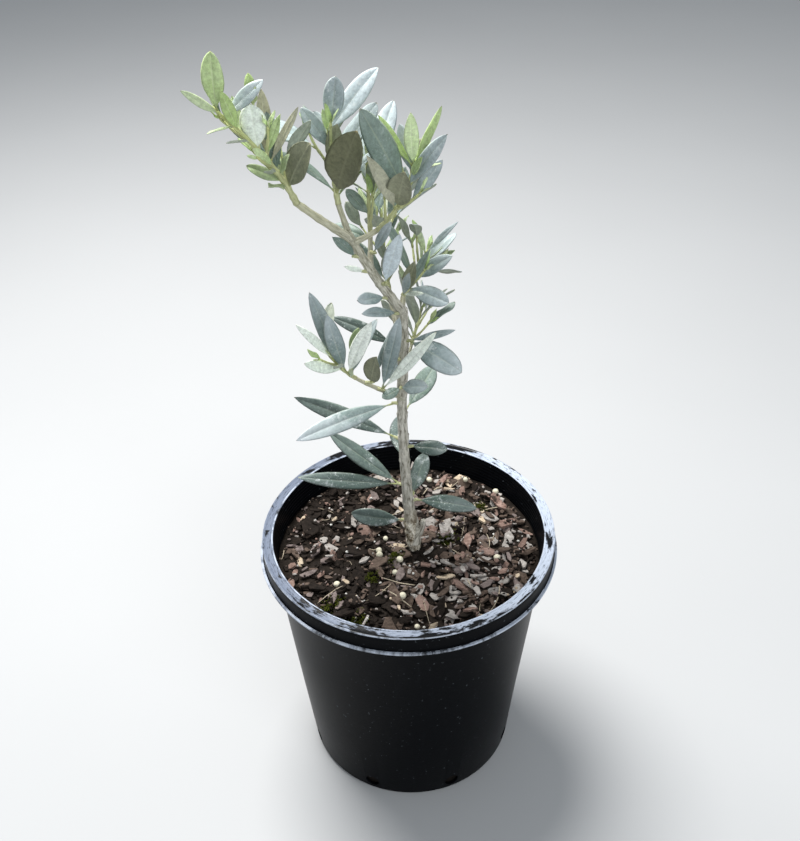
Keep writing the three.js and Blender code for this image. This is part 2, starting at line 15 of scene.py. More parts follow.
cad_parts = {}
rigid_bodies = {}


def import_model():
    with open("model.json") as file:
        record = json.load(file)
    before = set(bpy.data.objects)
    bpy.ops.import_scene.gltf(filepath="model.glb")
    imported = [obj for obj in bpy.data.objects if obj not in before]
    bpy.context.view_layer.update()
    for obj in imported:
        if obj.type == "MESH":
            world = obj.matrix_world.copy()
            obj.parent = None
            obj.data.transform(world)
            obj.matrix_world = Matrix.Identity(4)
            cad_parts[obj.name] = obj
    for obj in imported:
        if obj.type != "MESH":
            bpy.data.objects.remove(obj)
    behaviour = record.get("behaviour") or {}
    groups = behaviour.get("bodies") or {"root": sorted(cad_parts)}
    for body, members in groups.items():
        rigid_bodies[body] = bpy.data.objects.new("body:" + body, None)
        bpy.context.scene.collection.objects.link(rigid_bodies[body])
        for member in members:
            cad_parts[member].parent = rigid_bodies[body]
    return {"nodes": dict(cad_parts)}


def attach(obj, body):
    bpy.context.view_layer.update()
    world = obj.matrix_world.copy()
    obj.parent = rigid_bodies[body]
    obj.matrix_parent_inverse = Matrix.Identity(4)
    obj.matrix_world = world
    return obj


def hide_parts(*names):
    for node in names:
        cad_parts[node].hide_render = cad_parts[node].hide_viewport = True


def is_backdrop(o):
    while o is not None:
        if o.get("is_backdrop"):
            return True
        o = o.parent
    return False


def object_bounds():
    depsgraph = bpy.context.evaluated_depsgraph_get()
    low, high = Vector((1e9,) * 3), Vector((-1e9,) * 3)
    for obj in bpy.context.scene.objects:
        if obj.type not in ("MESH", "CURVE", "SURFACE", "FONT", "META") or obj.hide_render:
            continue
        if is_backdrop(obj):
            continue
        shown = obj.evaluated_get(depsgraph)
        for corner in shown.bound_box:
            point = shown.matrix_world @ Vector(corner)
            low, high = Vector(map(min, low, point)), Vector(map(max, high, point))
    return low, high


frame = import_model()
cad_low, cad_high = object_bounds()
millimetre = 0.001
millimetres_in_metre = 1000
print("nodes in the frame:", len(frame["nodes"]))
print("box of the frame in mm:", [round(v * millimetres_in_metre) for v in (*cad_low, *cad_high)])

# %% [markdown]
# ## The camera
# The photograph was taken from in front and well above, with the lens pitched down and rolled a little.
# A camera at the same point in space gives the same perspective. It is only turned and zoomed, so that the
# whole plant and pot fill the picture. The up direction is carried over too, so that the trunk leans as it
# does there.

# %% Stand the camera where the photograph was taken
eye = Vector((0.003, -0.5206, 0.663))
aim = Vector((-0.004, 0.0, 0.279))
photo_pitch, photo_roll, photo_turn = math.radians(24), math.radians(-4), math.radians(7.617)
picture_width, picture_height = 800, 841
focal_pixels = 1052


def photo_up():
    """The photograph's upward direction in the frame: pitched, rolled, then turned to face the pot."""
    level = Vector((0, math.sin(photo_pitch), math.cos(photo_pitch)))
    rolled = level * math.cos(photo_roll) - Vector((1, 0, 0)) * math.sin(photo_roll)
    return Matrix.Rotation(photo_turn, 3, "Z") @ rolled


def aim_camera(camera, eye, aim, up):
    forward = (aim - eye).normalized()
    upright = (up - forward * up.dot(forward)).normalized()
    right = forward.cross(upright)
    turn = Matrix((right, upright, -forward)).transposed().to_4x4()
    camera.matrix_world = Matrix.Translation(eye) @ turn


lens = bpy.data.cameras.new("camera")
lens.sensor_width = 36
lens.lens = focal_pixels * lens.sensor_width / max(picture_width, picture_height)
lens.clip_start = 0.01
camera = bpy.data.objects.new("camera", lens)
bpy.context.scene.collection.objects.link(camera)
aim_camera(camera, eye, aim, photo_up())
bpy.context.scene.camera = camera
print("lens in mm:", round(lens.lens, 1))

# %% [markdown]
# ## Small tools for meshes
# Every piece is made the same way: a list of points in millimetres, a list of faces, and a finish for each
# face. Named marks, such as how far along its leaf a point lies, travel with the mesh, so that a finish can
# use them.

# %% Turn points and faces into a piece


def set_mark(mesh, name, values):
    """Gives every point of a mesh its own value of a named mark."""
    values = np.ascontiguousarray(values, np.float32)
    mesh.attributes.new(name, "FLOAT", "POINT").data.foreach_set("value", values)


def make_piece(name, points, faces, finishes, face_finish=None, smooth=True, marks=None):
    mesh = bpy.data.meshes.new(name)
    mesh.from_pydata((np.asarray(points) * millimetre).tolist(), [], faces)
    for finish in finishes:
        mesh.materials.append(finish)
    if face_finish is not None:
        mesh.polygons.foreach_set("material_index", np.asarray(face_finish, np.int32))
    mesh.polygons.foreach_set("use_smooth", [smooth] * len(faces))
    for mark_name, values in (marks or {}).items():
        set_mark(mesh, mark_name, values)
    mesh.update()
    piece = bpy.data.objects.new(name, mesh)
    bpy.context.scene.collection.objects.link(piece)
    triangles = sum(len(face) - 2 for face in faces)
    print(f"{name}: {len(points)} points, {triangles} triangles")
    return piece


def with_modifiers(piece):
    """The piece's mesh as its modifiers leave it, with the modifiers taken off."""
    bpy.context.view_layer.update()
    as_seen = piece.evaluated_get(bpy.context.evaluated_depsgraph_get())
    shaped = bpy.data.meshes.new_from_object(as_seen)
    piece.modifiers.clear()
    piece.data = shaped
    return piece


# %% Gather many small shapes into one piece


class Gathered:
    """Points, faces and marks of many small shapes that become one piece."""

    def __init__(self):
        self.points, self.faces, self.finish, self.marks = [], [], [], {}
        self.count = 0

    def add(self, points, faces, finish=0, **marks):
        self.points.append(np.asarray(points, float))
        self.faces += [tuple(int(corner) + self.count for corner in face) for face in faces]
        self.finish += list(finish) if hasattr(finish, "__len__") else [finish] * len(faces)
        for mark_name, values in marks.items():
            per_point = np.broadcast_to(np.asarray(values, float), len(points))
            self.marks.setdefault(mark_name, []).append(per_point)
        self.count += len(points)

    def piece(self, name, finishes, smooth=True):
        marks = {mark_name: np.concatenate(values) for mark_name, values in self.marks.items()}
        points = np.concatenate(self.points)
        return make_piece(name, points, self.faces, finishes, self.finish, smooth, marks)


# %% Rings of points, and the faces between them


def full_turn(sides):
    """Even steps round a circle, in radians."""
    return np.linspace(0, 2 * math.pi, sides, endpoint=False)


def ring_faces(rings, sides, closed_ends=True):
    """Quads between rings of points that follow one another, and a cap on each end."""
    faces = []
    for ring in range(rings - 1):
        for side in range(sides):
            after = (side + 1) % sides
            faces.append((ring * sides + side, ring * sides + after,
                          (ring + 1) * sides + after, (ring + 1) * sides + side))
    if closed_ends:
        faces.append(tuple(reversed(range(sides))))
        faces.append(tuple((rings - 1) * sides + side for side in range(sides)))
    return faces


# %% [markdown]
# ## Small tools for finishes
# A finish is a network of nodes round one Principled shader. Short helpers keep the recipes readable. One
# adds a node and fills its sockets, one mixes two colours, and one turns a stretch of values into 0 to 1.
# Others add and multiply, give a place or a speckle, and read a mark that the mesh carries.

# %% Build a node network in few words


def new_finish(name, roughness, specular=0.5):
    material = bpy.data.materials.new(name)
    material.use_nodes = True
    tree = material.node_tree
    shader = tree.nodes["Principled BSDF"]
    shader.inputs["Roughness"].default_value = roughness
    shader.inputs["Specular IOR Level"].default_value = specular
    return material, tree, shader


def fill(tree, socket, value):
    if isinstance(value, bpy.types.NodeSocket):
        tree.links.new(value, socket)
    elif hasattr(value, "__len__") and socket.type == "RGBA":
        socket.default_value = (*value[:3], 1)
    else:
        socket.default_value = value


def node(tree, kind, sockets=None, **settings):
    made = tree.nodes.new("ShaderNode" + kind)
    for setting, value in settings.items():
        setattr(made, setting, value)
    for socket, value in (sockets or {}).items():
        fill(tree, made.inputs[socket], value)
    return made.outputs


def mix(tree, share, first, second, how="MIX"):
    made = tree.nodes.new("ShaderNodeMix")
    made.data_type, made.blend_type = "RGBA", how
    for socket, value in ((0, share), (6, first), (7, second)):
        fill(tree, made.inputs[socket], value)
    return made.outputs[2]


def between(tree, value, low, high, start=0.0, end=1.0):
    return node(tree, "MapRange", {0: value, 1: low, 2: high, 3: start, 4: end})[0]


def maths(tree, operation, first, second=0.0):
    return node(tree, "Math", {0: first, 1: second}, operation=operation)[0]


def plus(tree, first, second):
    return maths(tree, "ADD", first, second)


def times(tree, first, second):
    return maths(tree, "MULTIPLY", first, second)


# %% Places, speckles, marks and relief for a finish


def place(tree, stretch=(1, 1, 1)):
    """The point's own place on the piece, stretched where a grain runs one way."""
    own = node(tree, "TexCoord")["Object"]
    return node(tree, "Mapping", {"Vector": own, "Scale": stretch})[0]


def speckle(tree, at, scale, detail=4.0, rough=0.55):
    return node(tree, "TexNoise", {"Vector": at, "Scale": scale, "Detail": detail, "Roughness": rough})[0]


def mark(tree, name):
    return node(tree, "Attribute", attribute_name=name)["Fac"]


def relief(tree, shader, height, distance, strength=1.0):
    bump = node(tree, "Bump", {"Height": height, "Distance": distance, "Strength": strength})[0]
    fill(tree, shader.inputs["Normal"], bump)


# %% [markdown]
# ## Black nursery plastic
# The pot is injection-moulded black polypropylene: nearly black, with a slight gloss. It is never clean.
# Water and lime dry to a pale film, most of all on the flat lip, which also catches the sky, and handling
# leaves fine scuffs. One network makes the body, with small pale specks, and a second one adds the broken
# pale film for the lip, with a painted sky reflection in its colour and a painted highlight on its edges.

# %% The finish of the pot's body and of its lip
black = (0.0026, 0.003, 0.0038)
streak_grey = (0.006, 0.007, 0.009)
speck_grey = (0.16, 0.18, 0.2)
scuff_grey = (0.022, 0.026, 0.032)


def from_axis(tree):
    """How far the point lies from the pot's axis, its angle round it, and its height."""
    x, y, z = node(tree, "SeparateXYZ", {0: node(tree, "TexCoord")["Object"]})
    reach = maths(tree, "SQRT", plus(tree, times(tree, x, x), times(tree, y, y)))
    return reach, maths(tree, "ARCTAN2", y, x), z


def round_the_axis(tree, fineness, turns):
    """A place that is fine across the moulding and long round it, as marks of handling and cleaning are."""
    reach, angle, z = from_axis(tree)
    fine = times(tree, plus(tree, reach, z), fineness)
    return node(tree, "CombineXYZ", {0: fine, 1: times(tree, angle, turns), 2: 0.0})[0]


def plastic(name, roughness, specular):
    """The black moulding with specks, scuffs that run round it, and water streaks down it."""
    material, tree, shader = new_finish(name, roughness, specular)
    at = place(tree)
    specks = between(tree, speckle(tree, at, 420, 3), 0.68, 0.73)
    scuffs = between(tree, speckle(tree, round_the_axis(tree, 900, 9), 1, 5, 0.7), 0.6, 0.7, 0, 0.5)
    streaks = between(tree, speckle(tree, place(tree, (260, 260, 18)), 1, 4), 0.58, 0.8, 0, 0.4)
    colour = mix(tree, streaks, black, streak_grey)
    colour = mix(tree, times(tree, specks, 0.4), colour, speck_grey)
    colour = mix(tree, times(tree, scuffs, 0.5), colour, scuff_grey)
    rough = between(tree, plus(tree, scuffs, specks), 0, 1, roughness, roughness + 0.25)
    fill(tree, shader.inputs["Roughness"], rough)
    relief(tree, shader, speckle(tree, at, 700, 3), 0.00012, 0.5)
    return material, tree, shader, colour


pot_black, body_tree, body_shader, body_colour = plastic("pot_black", 0.32, 0.03)
fill(body_tree, body_shader.inputs["Base Color"], body_colour)
print("finish of the body:", pot_black.name)

# %% The lip's pale film with a painted sky reflection in its colour, worn away in patches, more of it at the sides, and a painted highlight on the edges
# The film colours carry a painted sky reflection: bluish, dim on the left and bright on the right.
left_film_dim_reflection, right_film_bright_reflection = (0.145, 0.17, 0.225), (0.42, 0.47, 0.56)
# A painted highlight for the lip's inner and outer edges.
painted_edge_highlight = (0.5, 0.55, 0.64)
lip_middle = 0.0937
lip_film_and_reflection, tree, shader, lip_black = plastic("lip_film_and_reflection", 0.3, 0.16)
lip_x = node(tree, "SeparateXYZ", {0: node(tree, "TexCoord")["Object"]})[0]
to_side = times(tree, maths(tree, "ABSOLUTE", lip_x), 1.6)
patches = plus(tree, speckle(tree, round_the_axis(tree, 130, 4), 1, 6, 0.6), to_side)
film = between(tree, patches, 0.545, 0.59)
fine_film = between(tree, speckle(tree, round_the_axis(tree, 1500, 16), 1, 4, 0.6), 0.36, 0.46, 0.3, 1)
# The film's colour runs from left to right as a painted sky reflection, from dim to bright.
film_and_reflection_colour = mix(tree, between(tree, lip_x, -0.07, 0.07), left_film_dim_reflection, right_film_bright_reflection)
lip_tone = mix(tree, times(tree, film, fine_film), lip_black, film_and_reflection_colour)
off_middle = maths(tree, "ABSOLUTE", maths(tree, "SUBTRACT", from_axis(tree)[0], lip_middle))
# A painted highlight along the lip's inner and outer edges, broken in places.
on_edge = between(tree, off_middle, 0.0027, 0.0031)
edge_highlight_kept = between(tree, speckle(tree, round_the_axis(tree, 60, 8), 1, 5, 0.7), 0.42, 0.54, 0.08, 1)
edge_highlight_share = times(tree, times(tree, on_edge, edge_highlight_kept), 0.85)
fill(tree, shader.inputs["Base Color"], mix(tree, edge_highlight_share, lip_tone, painted_edge_highlight))
print("finish of the lip:", lip_film_and_reflection.name)

# %% [markdown]
# ## The pot
# A moulded pot is a shape turned about its axis, so one outline of radius and height is enough. The outline
# runs up the outside, under and round the hanging skirt with its thin flange, over the flat lip and down the
# ribbed inside. Corners get a small round of their own, because sharp edges never catch a highlight. Real
# holes are cut last.

# %% The outline of the pot
pot_height, lip_radius, lip_width, base_radius = 190, 97, 7, 73
wall, floor_thickness, skirt_height, skirt_wall = 1.8, 2, 13, 1.6
flange_reach, flange_thickness = 2, 1.4
lip_inner = lip_radius - lip_width
foot_recess, lip_groove, near_axis = 0.8, 0.35, 0.01
ribs, rib_pitch, rib_depth, first_rib = 7, 2.5, 0.25, 4


def wall_outside(z):
    return base_radius + (lip_inner + wall - base_radius) * z / pot_height


def underside_corners():
    """The recessed underside and its standing ring. Each corner is a radius, a height and its own round."""
    return [(near_axis, foot_recess, 0), (base_radius - 9, foot_recess, 0.3), (base_radius - 8, 0, 0.3),
            (base_radius - 2, 0, 0.6), (wall_outside(2.2), 2.2, 0.8)]


def skirt_corners():
    """Up the wall, under the lip, and round the hanging skirt with its flange."""
    under_lip = pot_height - wall
    skirt_foot = pot_height - skirt_height
    skirt_inside = lip_radius - skirt_wall
    flange_edge = lip_radius + flange_reach
    flange_top = skirt_foot + flange_thickness
    return [(wall_outside(60), 60, 0), (wall_outside(120), 120, 0), (wall_outside(under_lip), under_lip, 0.4),
            (skirt_inside, under_lip, 0.4), (skirt_inside, skirt_foot, 0.3), (flange_edge, skirt_foot, 0.45),
            (flange_edge, flange_top, 0.45), (lip_radius, flange_top, 0.5), (lip_radius, pot_height - 4.6, 0)]


def lip_corners():
    """Over the flat lip, which is a little lower between its two raised edges."""
    groove = pot_height - lip_groove
    return [(lip_radius, pot_height, 0.9), (lip_radius - 1.6, pot_height, 0), (lip_radius - 2.1, groove, 0.1),
            (lip_inner + 1.5, groove, 0.1), (lip_inner + 1.1, pot_height, 0.1), (lip_inner, pot_height, 0.5)]


def inside_corners():
    """Down the inside, past the fine ribs under the lip, to the floor."""
    corners = []
    for rib in range(ribs):
        z = pot_height - first_rib - rib * rib_pitch
        inside = wall_outside(z) - wall
        crest = inside - rib_depth
        corners += [(inside, z + 0.7, 0.1), (crest, z + 0.3, 0.2)]
        corners += [(crest, z - 0.3, 0.2), (inside, z - 0.7, 0.1)]
    floor_edge = wall_outside(floor_thickness) - wall
    corners += [(wall_outside(90) - wall, 90, 0), (floor_edge, floor_thickness, 0.8)]
    return corners + [(near_axis, floor_thickness, 0)]


pot_outline = underside_corners() + skirt_corners() + lip_corners() + inside_corners()
print("corners of the outline:", len(pot_outline))

# %% Round each corner of the outline


def rounded(corners, steps=3):
    """The outline with each corner cut back by its round, but never by more than its share of a side."""
    most_of_side = 0.45
    outline = []
    for i, (radius, height, round_by) in enumerate(corners):
        corner = Vector((radius, height))
        if round_by == 0 or i in (0, len(corners) - 1):
            outline.append(corner)
            continue
        before, after = Vector(corners[i - 1][:2]), Vector(corners[i + 1][:2])
        to_before, to_after = before - corner, after - corner
        start = corner + to_before.normalized() * min(round_by, to_before.length * most_of_side)
        end = corner + to_after.normalized() * min(round_by, to_after.length * most_of_side)
        for step in range(steps + 1):
            t = step / steps
            outline.append(start * (1 - t) ** 2 + corner * 2 * t * (1 - t) + end * t * t)
    return outline


rounded_outline = rounded(pot_outline)
print("points of the rounded outline:", len(rounded_outline))

# %% Turn the outline into the pot
pot_sides = 192


def turned(outline, sides):
    turn = full_turn(sides)
    rings = [np.stack([p.x * np.cos(turn), p.x * np.sin(turn), np.full(sides, p.y)], 1) for p in outline]
    return np.concatenate(rings), ring_faces(len(outline), sides)


def soften_the_round(points):
    """A thin moulding is never quite true: its wall and lip wander by a few tenths of a millimetre."""
    waves_round, waves_up, most_drift, true_below = 1.3, 0.01, 0.5, 60
    for point in points:
        turn = math.atan2(point[1], point[0])
        at = Vector((math.cos(turn) * waves_round, math.sin(turn) * waves_round, point[2] * waves_up))
        drift = noise.noise(at) * most_drift
        share = min(1, point[2] / true_below)
        point[0] += math.cos(turn) * drift * share
        point[1] += math.sin(turn) * drift * share
    return points


pot_points, pot_faces = turned(rounded_outline, pot_sides)
pot_points = soften_the_round(pot_points)
middles = np.array([pot_points[list(face)].mean(0) for face in pot_faces])
reach = np.hypot(middles[:, 0], middles[:, 1])
on_lip = (reach > lip_inner - 0.6) & (middles[:, 2] > pot_height - 1.2)
on_flange = (reach > lip_radius + 0.3) & (middles[:, 2] < pot_height - skirt_height + 3)
pot = make_piece("nursery_pot", pot_points, pot_faces, [pot_black, lip_film_and_reflection], on_lip | on_flange)

# %% Cut the drain holes
drain_holes, hole_radius, hole_height, hole_sides, drill_half = 8, 5, 10, 28, 6
drill_parts = Gathered()
for hole in range(drain_holes):
    bearing = (hole + 0.5) * 2 * math.pi / drain_holes
    out = np.array([math.cos(bearing), math.sin(bearing), 0])
    side = np.array([-out[1], out[0], 0])
    turn = full_turn(hole_sides)
    rim = np.outer(np.cos(turn), side) * hole_radius + np.outer(np.sin(turn), (0, 0, 1)) * hole_radius
    rim = rim + (0, 0, hole_height)
    ends = [rim + out * (base_radius - drill_half), rim + out * (base_radius + drill_half)]
    drill_parts.add(np.concatenate(ends), ring_faces(2, hole_sides))
drill = drill_parts.piece("drill", [pot_black])
cut = pot.modifiers.new("drain holes", "BOOLEAN")
cut.operation, cut.object, cut.solver = "DIFFERENCE", drill, "EXACT"
with_modifiers(pot)
bpy.data.objects.remove(drill)
pot.data.set_sharp_from_angle(angle=math.radians(38))
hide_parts("pot")
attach(pot, "root")
print("pot with drain holes:", len(pot.data.polygons), "faces")

# %% [markdown]
# ## How the tree grows
# The plant follows one rule, the same as in the frame's own source, so that every leaf below lies where the
# solid has it. Limbs turn evenly along their length. Olive leaves come in pairs, each pair square to the one
# below. A leaf that would leave its part of the crown, or touch what grew before it, isn't grown.

# %% Directions and draws


def dice(seed):
    """Draws that are the same on every run and in the frame's source: a plain multiply and remainder."""
    multiplier, prime = 16807, 2147483647
    state = seed * 7919 + 17

    def draw(low, high):
        nonlocal state
        state = state * multiplier % prime
        return low + (high - low) * state / prime

    return draw


def unit(vector):
    return vector / np.linalg.norm(vector)


def heading(bearing, rise):
    bearing, rise = math.radians(bearing), math.radians(rise)
    return np.array([math.cos(rise) * math.cos(bearing), math.cos(rise) * math.sin(bearing), math.sin(rise)])


def square_to(direction, axis):
    return unit(direction - axis * direction.dot(axis))


def turned_about(vector, axis, degrees):
    angle = math.radians(degrees)
    across = np.cross(axis, vector) * math.sin(angle)
    return vector * math.cos(angle) + across + axis * axis.dot(vector) * (1 - math.cos(angle))


example = dice(1)
print("three draws from 0 to 1:", [round(example(0, 1), 3) for _ in range(3)])

# %% The line of a limb, its length, and a place along it
skyward = np.array([0.0, 0.0, 1.0])
bough_step = 6


def limb_line(start, limb):
    """A limb's points with their direction and radius, along an even turn."""
    steps = max(3, math.ceil(limb["length"] / bough_step))
    at = np.array(start, float)
    line = []
    for i in range(steps + 1):
        share = i / steps
        along = heading(limb["bearing"] + limb["swing"] * share, limb["rise"] + limb["curl"] * share)
        radius = (limb["base"] + (limb["tip"] - limb["base"]) * share) / 2
        line.append((at.copy(), along, radius))
        at = at + along * (limb["length"] / steps)
    return line


def line_length(line):
    return sum(np.linalg.norm(b[0] - a[0]) for a, b in zip(line, line[1:]))


def along_line(line, share):
    """The point, direction and radius at a share of a line."""
    spot = share * (len(line) - 1)
    before = min(int(spot), len(line) - 2)
    part = spot - before
    (a, da, ra), (b, db, rb) = line[before], line[before + 1]
    return a + (b - a) * part, unit(da + (db - da) * part), ra + (rb - ra) * part


# %% The trunk's own line, a smooth curve through its stations
trunk_start, trunk_clearance = 170, 0.3
print("the trunk's line starts a little under the top of the mix, at", trunk_start, "mm")

# Each station: its height over the start, its place to the side and back, and the thickness there
trunk_stations = [
    (0, 4.2, 0, 7.6), (9, 3.5, 0, 9.2), (22, 2.2, 0, 9.8), (37, 0.8, 0, 7.6), (53, -0.4, 0, 6.8),
    (92, -2.1, 0.5, 6.4), (126, -2.6, 0.5, 6.2), (154, -1.4, 0, 6.7), (188, -1.4, 0, 6.6),
]
trunk_rise = trunk_stations[-1][0]


def smooth_curve(knots, share):
    """A centripetal curve through the knots, as the frame's source draws it."""
    spot = (len(knots) - 1) * share
    first = min(int(spot), len(knots) - 2)
    t = spot - first
    p1, p2 = knots[first], knots[first + 1]
    p0 = knots[first - 1] if first > 0 else 2 * knots[0] - knots[1]
    p3 = knots[first + 2] if first + 2 < len(knots) else 2 * knots[-1] - knots[-2]
    d0, d1, d2 = (max(np.linalg.norm(b - a), 1e-8) ** 0.5 for a, b in ((p0, p1), (p1, p2), (p2, p3)))
    m1 = ((p1 - p0) / d0 - (p2 - p0) / (d0 + d1) + (p2 - p1) / d1) * d1
    m2 = ((p2 - p1) / d1 - (p3 - p1) / (d1 + d2) + (p3 - p2) / d2) * d1
    curve = p1 + m1 * t + (-3 * p1 + 3 * p2 - 2 * m1 - m2) * t**2
    return curve + (2 * p1 - 2 * p2 + m1 + m2) * t**3


def trunk_line(rings=20, marks=200):
    """The trunk's points at even steps along the curve, with direction and radius."""
    near = 1e-4
    knots = np.array([(x, y, trunk_start + trunk_clearance + rise) for rise, x, y, _ in trunk_stations])
    girths = np.array([(d, 0, 0) for *_, d in trunk_stations])
    walked = np.array([smooth_curve(knots, i / marks) for i in range(marks + 1)])
    length = np.concatenate([[0], np.cumsum(np.linalg.norm(np.diff(walked, axis=0), axis=1))])
    line = []
    for i in range(rings + 1):
        share = np.interp(i / rings * length[-1], length, np.linspace(0, 1, marks + 1))
        ahead = smooth_curve(knots, min(share + near, 1))
        behind = smooth_curve(knots, max(share - near, 0))
        along = skyward if i == 0 else unit(ahead - behind)
        line.append((smooth_curve(knots, share), along, smooth_curve(girths, share)[0] / 2))
    return line


# %% The boughs, each from its parent at a share of the parent's length, with angles in degrees
bough_columns = ("on", "at", "bearing", "rise", "swing", "curl", "length", "base", "tip")
boughs = {
    "old_stub": ("trunk", 0.045, -14, 60, 0, 30, 21, 4.4, 3.6),
    "left_bough": ("trunk", 0.99, 195, 57, 5, 9, 59, 5.6, 4.8),
    "left_outer_bough": ("left_bough", 0.98, 195, 39, 6, 6, 38, 4.7, 3.6),
    "upper_bough": ("left_bough", 0.97, 140, 62, -8, 6, 20, 3.4, 3),
    "right_bough": ("left_bough", 0.93, 14, 18, 6, 10, 15, 3.4, 2.8),
    "inner_bough": ("left_bough", 0.58, 92, 52, -8, 18, 20, 3.2, 2.6),
    "leader_bough": ("trunk", 0.972, 84, 58, 6, -4, 12, 3.4, 2.8),
    "back_bough": ("trunk", 0.86, 112, 40, -8, 16, 34, 3.4, 2.6),
    "low_left_bough": ("trunk", 0.67, 199, 32, 8, 12, 37, 3, 2.3),
    "low_back_bough": ("trunk", 0.74, 76, 26, -8, 16, 24, 2.6, 2.1),
}
lines = {"trunk": trunk_line()}
for name, row in boughs.items():
    limb = dict(zip(bough_columns, row))
    lines[name] = limb_line(along_line(lines[limb["on"]], limb["at"])[0], limb)
print("limbs:", len(lines), "trunk top at", np.round(lines["trunk"][-1][0], 1))

# %% The masses of foliage: stem, pairs of leaves, twigs, room and seed
mass_columns = (
    "on", "bearing", "rise", "swing", "curl", "length", "base", "tip",
    "pairs", "twist", "leaf", "plump", "lift", "twigs", "twig_length", "twig_pairs", "room", "seed",
)
masses = {
    "foliage_left_tip": (
        "left_outer_bough", 227, 65, -40, -20, 68, 3.3, 1.5, 10, 50, 36, 0.4, 0.8, 6, 18, 2, 80, 5,
    ),
    "foliage_upper": (
        "upper_bough", 118, 68, -8, 19, 37, 2.8, 1.5, 6, 20, 41, 0.42, 0.5, 4, 20, 2, 62, 12,
    ),
    "foliage_right_top": (
        "right_bough", -5, 46, 13, 36, 42, 2.6, 1.4, 6, 35, 37, 0.37, 0.8, 4, 18, 2, 58, 31,
    ),
    "foliage_inner": (
        "inner_bough", 97, 77, -3, 0, 38, 2.4, 1.3, 4, 70, 34, 0.36, 0.4, 2, 18, 2, 62, 44,
    ),
    "foliage_centre": (
        "leader_bough", 43, 42, 6, 9, 28, 2.6, 1.3, 6, 10, 34, 0.38, 0.25, 4, 20, 2, 56, 23,
    ),
    "foliage_back": (
        "back_bough", 104, 52, -10, 16, 46, 2.4, 1.3, 7, 30, 38, 0.36, 0.4, 5, 22, 2, 66, 8,
    ),
    "foliage_low_back": (
        "low_back_bough", 68, 42, -10, 16, 22, 2, 1.3, 4, 0, 36, 0.35, 0.3, 2, 15, 1, 48, 17,
    ),
    "foliage_low_left": (
        "low_left_bough", 207, 44, 4, 24, 22, 2.2, 1.3, 4, 80, 40, 0.36, 0.5, 3, 14, 1, 60, 3,
    ),
}
print("masses of foliage:", len(masses))

# %% The largest leaves of a mass: share along the stem, bearing, rise, length, width share and look
main_leaves = {
    "foliage_left_tip": [
        (0.98, -85, 79, 29, 0.37, "young"), (0.95, -151, 41, 22, 0.21, "fresh"),
        (0.78, -106, 59, 25, 0.26, "young"), (0.92, 16, 40, 26, 0.29, "frosted"),
        (0.57, -104, 78, 24, 0.55, "pale"), (0.59, 156, 50, 25, 0.35, "grey"),
        (0.44, 103, 73, 35, 0.22, "beige"), (0.49, -45, 62, 27, 0.18, "young"),
        (0.43, 9, 61, 31, 0.15, "beige"), (0.32, 175, 84, 31, 0.28, "grey"),
        (0.39, -107, 44, 22, 0.25, "young"), (0.16, -53, 56, 34, 0.43, "olive"),
    ],
    "foliage_upper": [
        (0.15, -66, 58, 47, 0.41, "shaded"), (0.55, -66, 68, 26, 0.36, "olive"),
        (1.0, 8, 53, 42, 0.29, "limed"), (0.75, 127, 53, 23, 0.39, "silver"),
        (0.78, -176, 61, 26, 0.32, "silver"),
    ],
    "foliage_right_top": [
        (0.63, -148, 65, 53, 0.29, "grey"), (0.98, 178, 59, 32, 0.15, "young"),
        (1.0, -96, 69, 32, 0.25, "lime"), (0.89, 132, 72, 26, 0.31, "silver"),
        (1.0, -32, 65, 36, 0.13, "young"), (0.71, -43, 55, 41, 0.22, "silver"),
        (0.84, -74, 48, 21, 0.22, "young"), (0.42, -82, 52, 31, 0.44, "olive"),
        (0.37, -112, 55, 46, 0.16, "beige"),
    ],
    "foliage_inner": [
        (0.92, 51, 54, 40, 0.3, "limed"), (0.28, -180, 53, 19, 0.38, "grey"),
    ],
    "foliage_centre": [
        (0.97, -156, 73, 22, 0.2, "young"), (1.0, -23, 52, 28, 0.13, "silver"),
        (0.41, -33, 42, 31, 0.29, "silver"), (0.09, -24, 64, 32, 0.15, "grey"),
        (0.09, -77, 55, 31, 0.25, "olive"), (0.03, -85, 47, 30, 0.17, "silver"),
        (0.21, -40, 2, 28, 0.39, "silver"), (0.03, -61, 30, 22, 0.15, "pale"),
    ],
    "foliage_low_left": [
        (0.63, -155, 74, 52, 0.19, "silver"), (0.4, -111, 67, 48, 0.21, "silver"),
        (1.0, -145, 55, 35, 0.15, "pale"), (0.29, -57, 62, 48, 0.19, "pale"),
        (0.51, -143, 31, 27, 0.29, "pale"),
    ],
}
print("largest leaves:", sum(len(rows) for rows in main_leaves.values()))

